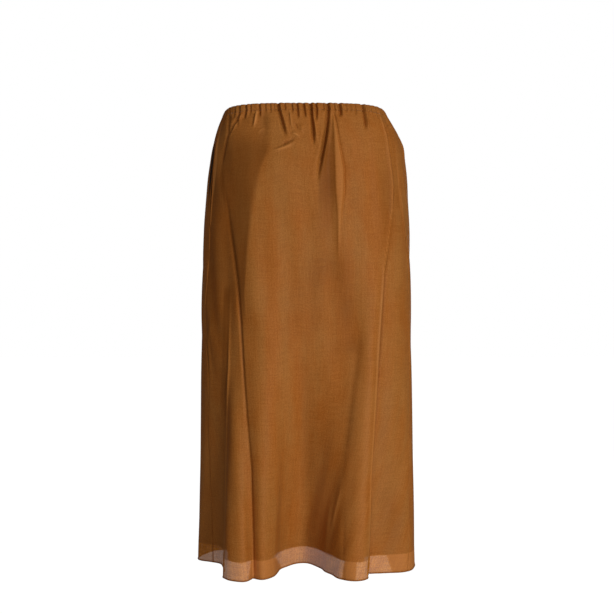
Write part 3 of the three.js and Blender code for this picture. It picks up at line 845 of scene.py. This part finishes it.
# %% Lining
LINING_ROOM = soft_curve([PANEL_TOP, -20, -60, -740, HEM], [5.3, 8.0, 8.5, 8.2, 6.5], soften=4)
LINING_SEAM_GAP = 1.0
LINING_COLUMNS, LINING_ROWS = 210, 90
lining_grids = {side: hang_grid(side, LINING_COLUMNS, LINING_ROWS, PANEL_TOP, LINING_HEM,
                                inward=LINING_ROOM, gap=LINING_SEAM_GAP, dressed=False)
                for side in ("front", "back")}
lining = {side: cloth("lining_" + side + "_cloth", grid) for side, (grid, _) in lining_grids.items()}
for side in lining:
    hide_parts("lining_" + side)

# %% [markdown]
# ## A strip that rolls round a line
# Rolled hems, seam ridges and pocket bags are all strips of cloth folded round a line. One helper
# makes them: a flat grid whose short way is wrapped round a closed profile. Its two long edges
# meet, so they are merged, and both ends are closed.

# %% Rolled strips
def rolled_strip(name, rings):
    """rings holds, for each step along the line, the points of the profile round it."""
    steps, round_it = rings.shape[0], rings.shape[1]
    rings = np.concatenate([rings, rings[:, :1]], 1)
    bm = bmesh.new()
    uv = bm.loops.layers.uv.new("UVMap")
    bmesh.ops.create_grid(bm, x_segments=steps - 1, y_segments=round_it, size=1)
    pattern = flat_pattern(rings.transpose(1, 0, 2))
    flat = {}
    for vert in bm.verts:
        step = round((vert.co.x + 1) / 2 * (steps - 1))
        place = round((1 - vert.co.y) / 2 * round_it)
        flat[vert] = pattern[place, step]
        vert.co = rings[step, place] * MM
    write_uv(bm, uv, flat)
    bmesh.ops.remove_doubles(bm, verts=bm.verts, dist=SAME_PLACE)
    rim = [e for e in bm.edges if e.is_boundary]
    bmesh.ops.holes_fill(bm, edges=rim, sides=0)
    bmesh.ops.recalc_face_normals(bm, faces=bm.faces)
    return piece_from(bm, name)


def sweep(line, out, up, profile):
    """Profile points (outward, upward) set round each point of a line."""
    return line[:, None] + out[:, None] * profile[None, :, :1] + up[:, None] * profile[None, :, 1:]


def round_profile(radius, squash, sides=8):
    turn = 2 * np.pi * np.arange(sides) / sides
    return np.stack([radius * np.cos(turn), radius * squash * np.sin(turn)], -1)


print("a profile has", len(round_profile(1, 1)), "points")

# %% [markdown]
# ## Waist casing
# The top of the skirt is a strip folded in two, with elastic drawn through the fold. Its face
# puckers with the gathers below, and the folded top edge stands up in small scallops. The strip is
# hung like the panels: each row of the profile is one thread that runs round the waist.

# %% Waist casing
CASING_STEPS = {"front": 620, "back": 640}
CASING_PROFILE = [
    # outward, upward from the middle, share of the pucker
    (-0.1, -7.0, 1.0), (0.1, -5.4, 1.0), (0.3, -3.6, 1.0), (0.5, -1.6, 1.0), (0.5, 0.4, 1.0),
    (0.4, 2.4, 1.0), (0.2, 4.0, 0.9), (-0.1, 5.2, 0.75), (-0.8, 6.1, 0.62), (-1.7, 6.4, 0.55),
    (-2.6, 6.0, 0.5), (-3.2, 4.8, 0.45), (-3.6, 2.6, 0.45), (-3.8, 0.0, 0.4), (-3.7, -2.6, 0.4),
    (-3.5, -5.0, 0.45),
]
SCALLOP, SCALLOP_FROM = 0.05, 4


def casing_grid():
    """Rows of the folded strip, one for each point of its profile, joined front to back."""
    columns = []
    for side in ("front", "back"):
        count = CASING_STEPS[side]
        share = np.arange(count) / count
        rows = []
        for outward, upward, part in CASING_PROFILE:
            level = min(upward, CASING_TOP)
            start, end = panel_ends(side, level, 0)
            points, out = walk(level, start + (end - start) * share)
            relief = gather_relief(side, share[None], np.full((1, count), PANEL_TOP), end - start)[0]
            places = points + out * (outward + relief * part)[:, None]
            lift = relief * (SCALLOP if upward > SCALLOP_FROM else 0)
            rows.append(np.column_stack([places, upward + lift]))
        columns.append(np.array(rows))
    both = np.concatenate(columns, 1)
    return np.concatenate([both, both[:, :1]], 1)[::-1]


casing = cloth("waist_casing_cloth", casing_grid(), closed_ring=True)
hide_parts("waist_casing")

# %% [markdown]
# ## Rolled hems
# Voile frays, so its edge is rolled under into a cord about two millimetres thick. Against the
# light it shows as a fine darker line. The roll follows the last row of each hung panel.

# %% Rolled hems
HEM_ROLL, LINING_HEM_ROLL = 1.0, 0.8
ROLL_RISE, ROLL_TALL = 0.6, 1.25


def hem_roll(name, grid, outs, radius):
    line = grid[-1].copy()
    line[:, 2] += radius * ROLL_RISE
    out = outs[-1]
    line -= out * CLOTH_THICK / 2
    up = np.broadcast_to([0.0, 0.0, 1.0], line.shape)
    return rolled_strip(name, sweep(line, out, up, round_profile(radius, ROLL_TALL)))


hems = {side: hem_roll("hem_" + side, *outer_grids[side], HEM_ROLL) for side in ("front", "back")}
lining_hems = {side: hem_roll("lining_hem_" + side, *lining_grids[side], LINING_HEM_ROLL)
               for side in ("front", "back")}
print("hems", [len(piece.data.polygons) for piece in (*hems.values(), *lining_hems.values())])

# %% [markdown]
# ## Side seams and pocket edges
# Where the panels meet, the seam makes a narrow ridge. At the pocket the front panel's edge is
# turned back and pressed, and with a painted highlight on the cloth beside it this is the thin
# bright line beside the mouth's painted shadow.

# %% Side seams
SEAM_RIDGE, MOUTH_RIDGE = 0.8, 1.3
RIDGE_SUNK, RIDGE_WIDE = 0.3, 1.4


def column_line(grid, column, first, last):
    """The points of one column of a panel between two heights, and their rows."""
    rows = [r for r in range(len(grid)) if last <= grid[r, column, 2] <= first]
    return grid[rows, column], rows


def seam_ridge(name, column, first, last, radius=SEAM_RIDGE):
    grid, outs = outer_grids["front"]
    line, rows = column_line(grid, column, first, last)
    out = outs[rows, column]
    line = line - out * RIDGE_SUNK
    along = np.gradient(line, axis=0)
    along /= np.linalg.norm(along, axis=1)[:, None]
    side = np.cross(along, out)
    side /= np.linalg.norm(side, axis=1)[:, None]
    return rolled_strip(name, sweep(line, out, side, round_profile(radius, RIDGE_WIDE)))


seams = [
    seam_ridge("seam_left_top", 0, PANEL_TOP - 1, MOUTH_TOP + 2),
    seam_ridge("pocket_edge_left", 0, MOUTH_TOP + 1, MOUTH_FOOT - 1, MOUTH_RIDGE),
    seam_ridge("seam_left", 0, MOUTH_FOOT - 2, HEM - 1),
    seam_ridge("seam_right", -1, PANEL_TOP - 1, HEM - 1),
]
print("seams", [piece.name for piece in seams])

# %% [markdown]
# ## Pocket bags
# Behind each side seam hangs a flat bag of the same voile. It lies between the outer cloth and the
# lining, and only its shade shows in the open mouth, so its voile is painted nearly black as painted
# shade. Each is two plies sewn together round the edge, here one soft closed pouch a little thicker
# in the middle.

# %% Pocket bags
BAG = {"z": [-70, -100, -140, -205, -245, -285], "reach": [78, 104, 110, 98, 78, 46]}
BAG_UNDER, BAG_DEEP, BAG_SAG, BAG_SEATED, BAG_THICK = 24.0, 2.6, 1.3, 50.0, 1.3
BAG_POINTS, BAG_RINGS, BAG_EDGE = 26, 44, 0.04
# creases at least this wide push the bag inwards too
BAG_FOLLOWS = 2.2
BAG_REACH = soft_curve(BAG["z"], BAG["reach"], soften=8)


def bag_rings(seam, direction):
    """Level loops round both plies, from the top of the bag to its foot."""
    rings = []
    turn = np.linspace(0, np.pi, BAG_POINTS)
    for z in np.linspace(BAG["z"][0], BAG["z"][-1], BAG_RINGS):
        along = -BAG_UNDER + (BAG_REACH(z) + BAG_UNDER) * (0.5 - 0.5 * np.cos(turn))
        points, out = walk(z, section(z)["seams"][seam] + direction * along)
        plump = BAG_THICK * np.sqrt(np.clip(np.sin(turn), BAG_EDGE, 1))
        panel = "front" if points[:, 1].mean() < 0 else "back"
        deep = BAG_DEEP + BAG_SAG * ease(along / BAG_SEATED)
        deep = deep - crease_relief(panel, points[:, 0], np.full(BAG_POINTS, z), narrowest=BAG_FOLLOWS)
        near = points - out * deep[:, None]
        far = points - out * (deep + plump)[:, None]
        loop = np.vstack([near, far[::-1]])
        rings.append(np.column_stack([loop, np.full(len(loop), z)]))
    return np.array(rings)


bags = {}
for side, seam, direction in (("left", 0, 1), ("right", 1, -1)):
    bags[side] = rolled_strip("pocket_bag_" + side, bag_rings(seam, direction))
    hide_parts("pocket_" + side)
print("pocket bags", [len(piece.data.polygons) for piece in bags.values()])

# %% [markdown]
# ## Stitches
# Machine stitches hold the casing, the pocket's edge and the hems. From a step away they are a
# faint dotted line, so each is one small rounded bar, and each row of them is one joined mesh.

# %% Stitches
STITCH_LONG, STITCH_WIDE = 1.6, 0.13
STITCH_SPACING, HEM_SPACING = 2.4, 3.0
STITCH_LIFT, MOUTH_STITCH_LIFT = 0.02, 0.12
CASING_STITCH_PART, HEM_STITCH_PART, MOUTH_COLUMN = 0.75, 0.7, 2


def stitch_row(name, line, out, spacing):
    """Small bars laid along a line, each turned to follow it."""
    steps = np.linalg.norm(np.diff(line, axis=0), axis=1)
    lengths = np.concatenate([[0], np.cumsum(steps)])
    places = np.arange(spacing / 2, lengths[-1], spacing)
    pick = lambda values, at: np.array([np.interp(at, lengths, values[:, k]) for k in range(3)])
    bm = bmesh.new()
    for place in places:
        centre = Vector(pick(line, place))
        forward = Vector(pick(line, place + 0.5) - pick(line, place - 0.5)).normalized()
        outward = Vector(pick(out, place)).normalized()
        sideways = outward.cross(forward).normalized()
        made = bmesh.ops.create_uvsphere(bm, u_segments=6, v_segments=4, radius=1)
        for vert in made["verts"]:
            shape = vert.co.copy()
            vert.co = (centre + forward * shape.z * STITCH_LONG / 2 + sideways * shape.x * STITCH_WIDE
                       + outward * shape.y * STITCH_WIDE) * MM
    bmesh.ops.recalc_face_normals(bm, faces=bm.faces)
    return piece_from(bm, name)


def row_line(side, row, toward, part):
    """A line between two rows of a hung panel, just above the cloth."""
    grid, outs = outer_grids[side]
    return grid[row] * (1 - part) + grid[toward] * part + outs[row] * STITCH_LIFT, outs[row]


rows_of_stitches = []
for side in ("front", "back"):
    below_casing = row_line(side, 0, 1, CASING_STITCH_PART)
    above_roll = row_line(side, -1, -2, HEM_STITCH_PART)
    rows_of_stitches.append(stitch_row("casing_stitches_" + side, *below_casing, STITCH_SPACING))
    rows_of_stitches.append(stitch_row("hem_stitches_" + side, *above_roll, HEM_SPACING))
front_grid, front_outs = outer_grids["front"]
mouth_line, mouth_rows = column_line(front_grid, MOUTH_COLUMN, MOUTH_TOP, MOUTH_FOOT)
mouth_outs = front_outs[mouth_rows, MOUTH_COLUMN]
mouth_line = mouth_line + mouth_outs * MOUTH_STITCH_LIFT
rows_of_stitches.append(stitch_row("pocket_stitches_left", mouth_line, mouth_outs, STITCH_SPACING))
print("stitch rows", [len(piece.data.polygons) for piece in rows_of_stitches])

# %% [markdown]
# ## Shader maths as expressions
# A finish is a sum of small patterns. Wrapping a socket in a class lets those sums be written as
# plain arithmetic, and one method adds any other node with its settings and its inputs.

# %% Shader expressions
class Socket:
    """A value in a material that can be added, multiplied and so on."""

    def __init__(self, finish, socket):
        self.finish, self.socket = finish, socket

    def math(self, operation, first, second):
        return self.finish.node("ShaderNodeMath", {"operation": operation}, {0: first, 1: second})

    def __add__(self, other):
        return self.math("ADD", self, other)

    def __sub__(self, other):
        return self.math("SUBTRACT", self, other)

    def __rsub__(self, other):
        return self.math("SUBTRACT", other, self)

    def __mul__(self, other):
        return self.math("MULTIPLY", self, other)

    __radd__, __rmul__ = __add__, __mul__


class Finish:
    """A material under construction."""

    def __init__(self, name):
        self.material = bpy.data.materials.new(name)
        self.material.use_nodes = True
        self.nodes, self.links = self.material.node_tree.nodes, self.material.node_tree.links
        self.shader = self.nodes["Principled BSDF"]

    def feed(self, node, inputs):
        for name, value in inputs.items():
            if isinstance(value, Socket):
                self.links.new(value.socket, node.inputs[name])
            else:
                node.inputs[name].default_value = value

    def node(self, kind, settings=None, inputs=None, output=0):
        node = self.nodes.new(kind)
        for name, value in (settings or {}).items():
            setattr(node, name, value)
        self.feed(node, inputs or {})
        return Socket(self, node.outputs[output])

    def blend(self, factor, first, second):
        return self.node("ShaderNodeMix", {"data_type": "RGBA"}, {0: factor, 6: first, 7: second}, output=2)

    def set(self, **values):
        for name, value in values.items():
            self.feed(self.shader, {name.replace("_", " "): value})


print("Socket and Finish are ready")

# %% [markdown]
# ## Voile
# Voile is a plain weave of fine, slightly uneven threads. Up close it is a mesh of tiny bars, and
# from a step away only the thicker threads, the slubs, show as faint lines along and across. The
# weave follows the cloth's own flat pattern, so it bends with every fold. First come the colours
# and the patterns that every finish shares.

# %% Threads
def linear(red, green, blue):
    """A colour given as it looks on a screen, from 0 to 255, as light."""
    channel = lambda c: (c / 255) / 12.92 if c <= 10 else ((c / 255 + 0.055) / 1.055) ** 2.4
    return (channel(red), channel(green), channel(blue), 1)


# metres from thread to thread, and from band to band of a wave texture at scale 1
THREAD_PITCH, WAVE_PERIOD = 0.00042, 0.314
OCHRE, RUST = linear(161, 103, 45), linear(168, 94, 28)
DEEP, PALE = linear(140, 82, 28), linear(190, 124, 60)
# A deep brown for a pocket bag or a lining crease seen through and for painted shade, and a pale colour for
# painted highlights.
THROUGH_AND_SHADE, LIT = linear(106, 56, 10), linear(200, 132, 68)
# A near black for the painted shadow inside the pocket's slit.
POCKET_SHADOW = linear(30, 15, 6)
# The single layer below the lining is partly see-through, and these colours also paint it paler and warmer as
# light that comes through it; where the hem lies double, less light is painted.
BACKLIT_BARE, BACKLIT_BARE_DEEP = linear(216, 138, 50), linear(184, 110, 32)
DOUBLE = linear(180, 114, 62)
SLUBS = {
    # repeats per metre along and across the cloth, detail of the noise
    "warp": (22, 420, 2.0),
    "weft": (430, 30, 2.0),
    "grain": (420, 420, 1.0),
    "streaks": (3.2, 24, 2.5),
    "cloudy": (12, 17, 3.0),
}


def slubs(finish, flat, along, across, detail):
    """Uneven threads: noise stretched one way, from -0.5 to 0.5."""
    stretched = finish.node("ShaderNodeMapping", {"vector_type": "POINT"},
                            {"Vector": flat, "Scale": (across, along, 1)})
    return finish.node("ShaderNodeTexNoise", {"noise_dimensions": "2D"},
                       {"Vector": stretched, "Scale": 1.0, "Detail": detail, "Roughness": 0.6}) - 0.5


def weave(finish, flat):
    """Height of the crossing threads, from 0 to 1."""
    threads = []
    for turned in ((0, 0, 0), (0, 0, math.pi / 2)):
        way = finish.node("ShaderNodeMapping", {"vector_type": "POINT"}, {"Vector": flat, "Rotation": turned})
        threads.append(finish.node("ShaderNodeTexWave", {"wave_type": "BANDS", "bands_direction": "X"},
                                   {"Vector": way, "Scale": WAVE_PERIOD / THREAD_PITCH / 2,
                                    "Distortion": 0.6, "Detail": 1.0, "Detail Scale": 1.5}))
    return (threads[0] + threads[1]) * 0.5


def clamp(finish, value):
    return finish.node("ShaderNodeClamp", {}, {"Value": value})


def stored(finish, name):
    """A number that is stored on the mesh, or 0 where the mesh has none of that name."""
    return finish.node("ShaderNodeAttribute", {"attribute_name": name}, {}, output=2)


def weighed(middle, threads, weights):
    """A middle value plus each named pattern times its weight."""
    total = middle
    for name, weight in weights.items():
        total = total + threads[name] * weight
    return total


print(len(SLUBS), "patterns of threads")

# %% [markdown]
# ## The finish
# The colour runs from rust to ochre in slow streaks, and the threads lie over it, deeper or paler.
# The outer cloth's finish also reads the stored numbers: it blends towards a deep brown where a
# pocket bag shows through or shade is painted, towards a pale lit colour where a highlight is
# painted, and towards near black in the painted shadow of the pocket slit. In the band below the
# lining it turns more open and is painted paler, as light that comes through a single layer. That
# band starts at an even distance from the hem, along the cloth. A bump map adds the crossing threads.

# %% Voile
OCHRE_BY = {"streaks": 1.8, "cloudy": 1.6}
UNEVEN_BY = {"warp": 1.0, "weft": 1.1, "grain": 1.8, "cloudy": 0.5}
BARE_BY = {"warp": 1.4, "weft": 1.7, "grain": 1.8}
ROUGH_BY = {"warp": -0.15, "weft": 0.15}
RELIEF_BY = {"warp": 0.6, "weft": 0.8}
UNEVEN_SHARE, SHADE_SHARE, SHADE_STREAKS = 0.42, 0.85, 0.9
WEAVE_RELIEF, ROUGH = 0.4, 0.62
BARE_TOP, BARE_SOFT = (LINING_HEM - HEM + 3) * MM, 2 * MM
DOUBLE_SHARE, DOUBLE_CLOSES = 0.7, 0.85


def voile(name, tone=1.0, opacity=1.0, sheen=0.06, sheer=False, bare_opacity=0.85):
    """The cloth's finish. tone darkens it, and a sheer one lets the light and the lining show, and carries
    the painted shade, highlights and paleness stored on the mesh.
    """
    finish = Finish(name)
    dark = lambda colour: tuple(c * tone for c in colour[:3]) + (1,)
    flat = finish.node("ShaderNodeUVMap", {"uv_map": "UVMap"})
    threads = {name: slubs(finish, flat, *row) for name, row in SLUBS.items()}
    ochre = clamp(finish, weighed(0.5, threads, OCHRE_BY) - stored(finish, "warm"))
    colour = finish.blend(ochre, dark(RUST), dark(OCHRE))
    thick = clamp(finish, weighed(0.5, threads, UNEVEN_BY))
    colour = finish.blend(UNEVEN_SHARE, colour, finish.blend(thick, dark(DEEP), dark(PALE)))
    if sheer:
        # Painted shade and show-through blend towards the deep brown, painted highlights towards the pale lit
        # colour, and painted shade above 1 towards the near black of the pocket slit's shadow.
        shade = stored(finish, "shade")
        streaky = SHADE_SHARE + threads["streaks"] * SHADE_STREAKS
        colour = finish.blend(clamp(finish, shade * streaky), colour, dark(THROUGH_AND_SHADE))
        colour = finish.blend(clamp(finish, shade * -1.0), colour, dark(LIT))
        colour = finish.blend(clamp(finish, shade - 1.0), colour, dark(POCKET_SHADOW))
        # Below the lining the colour is painted paler, as light that comes through a single layer, and less
        # so where the hem lies double.
        low = clamp(finish, (BARE_TOP - stored(finish, "above_hem")) * (1 / BARE_SOFT))
        bare = finish.blend(clamp(finish, weighed(0.5, threads, BARE_BY)), BACKLIT_BARE_DEEP, BACKLIT_BARE)
        double = stored(finish, "double")
        bare = finish.blend(double * DOUBLE_SHARE, bare, DOUBLE)
        colour = finish.blend(low, colour, bare)
        closes = low * double * (1 - bare_opacity) * DOUBLE_CLOSES
        opacity = opacity + low * (bare_opacity - opacity) + closes
    relief = weighed(weave(finish, flat) * WEAVE_RELIEF, threads, RELIEF_BY)
    bump = finish.node("ShaderNodeBump", {}, {"Height": relief, "Distance": 0.0002, "Strength": 0.6})
    finish.set(Base_Color=colour, Normal=bump, Roughness=weighed(ROUGH, threads, ROUGH_BY))
    finish.set(Specular_IOR_Level=0.12, Sheen_Weight=sheen, Sheen_Roughness=0.4, Sheen_Tint=PALE)
    finish.set(Alpha=opacity)
    return finish.material


print("the bare band is", round(BARE_TOP / MM), "mm high")

# %% [markdown]
# ## Which piece wears which finish
# The rolls and the casing are the same voile, only darker, because there it lies double. The bags
# are the same voile painted nearly black, as painted shade inside the pockets. The lining is deeper
# in tone and has less sheen. The outer sheets take two finishes: the second is for their inner face,
# which is more open, so that light comes through.

# %% Finishes
outer_voile = voile("voile", opacity=0.94, sheer=True)
inner_voile = voile("voile_inside", opacity=0.55, sheer=True, bare_opacity=0.55)
casing_voile = voile("casing_voile", tone=0.9)
thread = voile("thread", tone=0.95)
hem_voile = voile("rolled_voile", tone=0.8)
lining_voile = voile("lining_cloth", tone=0.72, sheen=0.04)
# The bags are painted nearly black, as painted shade inside the pockets.
bag_shade_voile = voile("pocket_cloth", tone=0.16, sheen=0.0)

finishes = [
    (outer_voile, [*outer.values()]),
    (inner_voile, [*outer.values()]),
    (casing_voile, [casing, *seams]),
    (thread, [*rows_of_stitches]),
    (hem_voile, [*hems.values()]),
    (lining_voile, [*lining.values(), *lining_hems.values()]),
    (bag_shade_voile, [*bags.values()]),
]
for material, pieces in finishes:
    for piece in pieces:
        piece.data.materials.append(material)
    print(material.name, "on", len(pieces), "pieces")

# %% [markdown]
# ## What was cut
# Each panel was a flat piece before it was sewn. Its width and length are measured along the hung
# threads, and the area allows for the slope of an A-line cut.

# %% Sheets
def flat_area(grid):
    """Area of the hung cloth in square metres, from its rows."""
    wide = np.linalg.norm(np.diff(grid, axis=1), axis=2).sum(axis=1) * MM
    down = np.linalg.norm(np.diff(grid, axis=0), axis=2).mean(axis=1) * MM
    return float(((wide[1:] + wide[:-1]) / 2 * down).sum())


def declare(piece, grid):
    """Measures the cloth of a hung panel and prints it."""
    wide = float(np.linalg.norm(np.diff(grid, axis=1), axis=2).sum(axis=1).max()) * MM
    long = float(np.linalg.norm(np.diff(grid, axis=0), axis=2).sum(axis=0).mean()) * MM
    area = min(flat_area(grid), wide * long)
    print(piece.name, "cut", round(wide, 3), "x", round(long, 3), "m, area", round(area, 3), "m2")


for side in ("front", "back"):
    declare(outer[side], outer_grids[side][0])
    declare(lining[side], lining_grids[side][0])
CASING_FULLNESS, CASING_CUT = 1.15, 0.028
section(0)["round"] * CASING_FULLNESS * MM
print("casing cut", round(section(0)["round"] * CASING_FULLNESS * MM, 3), "x", CASING_CUT, "m")

# %% [markdown]
# ## Camera
# The photo was taken level with the middle of the skirt, from about two metres. The lens follows
# from that distance and from how many millimetres one pixel of the photo spans on the skirt.

# %% Camera
CAMERA_X, CAMERA_Z, CAMERA_FAR, PIXEL = 1.0, -365.0, 2000.0, 1.933
PHOTO_SIDE, SENSOR = 614, 36.0


def aimed(thing, place, target):
    """Puts a camera or a light at a place, turned towards its target."""
    thing.location = place
    thing.rotation_euler = (Vector(target) - Vector(place)).to_track_quat("-Z", "Y").to_euler()
    bpy.context.scene.collection.objects.link(thing)


camera_data = bpy.data.cameras.new("camera")
camera_data.sensor_width = SENSOR
camera_data.lens = SENSOR * CAMERA_FAR / PIXEL / PHOTO_SIDE
camera = bpy.data.objects.new("camera", camera_data)
aimed(camera, (CAMERA_X * MM, -CAMERA_FAR * MM, CAMERA_Z * MM), (CAMERA_X * MM, 0, CAMERA_Z * MM))
bpy.context.scene.camera = camera
print("lens", round(camera_data.lens, 1), "mm")

# %% [markdown]
# ## Light
# One large soft light stands to the right of the camera, as the folds' shadows show. A weak one in
# front fills those shadows, and one behind shows the back from other sides. The rest comes evenly
# from a room, which the camera sees as plain white.

# %% Light
LIGHTS = [
    # name, place, target, power in watts, width, height
    ("key", (1.35, -2.35, -0.42), (0, 0, -0.46), 49, 1.1, 1.5),
    ("front", (-0.1, -2.9, -0.3), (0, 0, -0.45), 9, 1.6, 1.6),
    ("back", (0.4, 2.9, -0.3), (0, 0, -0.45), 22, 1.6, 1.6),
]
WHITE = (1, 1, 1, 1)
ROOM_COLOUR, ROOM_STRENGTH = (1, 0.88, 0.72, 1), 0.17


def soft_light(name, place, target, power, wide, tall):
    data = bpy.data.lights.new(name, "AREA")
    data.shape, data.size, data.size_y, data.energy = "RECTANGLE", wide, tall, power
    aimed(bpy.data.objects.new(name, data), place, target)


for light in LIGHTS:
    soft_light(*light)

world = bpy.data.worlds.new("studio")
world.use_nodes = True
bpy.context.scene.world = world
tree = world.node_tree
room = tree.nodes["Background"]
room.inputs["Color"].default_value = ROOM_COLOUR
room.inputs["Strength"].default_value = ROOM_STRENGTH
seen = tree.nodes.new("ShaderNodeBackground")
seen.inputs["Color"].default_value = WHITE
ray = tree.nodes.new("ShaderNodeLightPath")
either = tree.nodes.new("ShaderNodeMixShader")
tree.links.new(ray.outputs["Is Camera Ray"], either.inputs[0])
tree.links.new(room.outputs[0], either.inputs[1])
tree.links.new(seen.outputs[0], either.inputs[2])
tree.links.new(either.outputs[0], tree.nodes["World Output"].inputs[0])
bpy.context.scene.view_settings.view_transform = "Standard"
print(len(LIGHTS), "soft lights")

# %% [markdown]
# ## Floor
# The photo's ground is an even white with no shadow. So the floor gives off its own white, lies
# well below the hem, and throws no light back onto the cloth.

# %% Floor
FLOOR_Z, FLOOR_HALF = -1.05, 12.0
FLOOR_DARK = (0.02, 0.02, 0.02, 1)
bm = bmesh.new()
bmesh.ops.create_grid(bm, x_segments=1, y_segments=1, size=FLOOR_HALF, calc_uvs=True)
bmesh.ops.translate(bm, verts=bm.verts, vec=(0, 0, FLOOR_Z))
floor_mesh = bpy.data.meshes.new("floor")
bm.to_mesh(floor_mesh)
bm.free()
floor = bpy.data.objects.new("floor", floor_mesh)
bpy.context.scene.collection.objects.link(floor)
pale = Finish("pale_floor")
pale.set(Base_Color=FLOOR_DARK, Roughness=1.0, Emission_Color=WHITE, Emission_Strength=1.0)
floor.data.materials.append(pale.material)
floor.visible_diffuse = False
floor.visible_glossy = False
print("floor at", FLOOR_Z, "m")
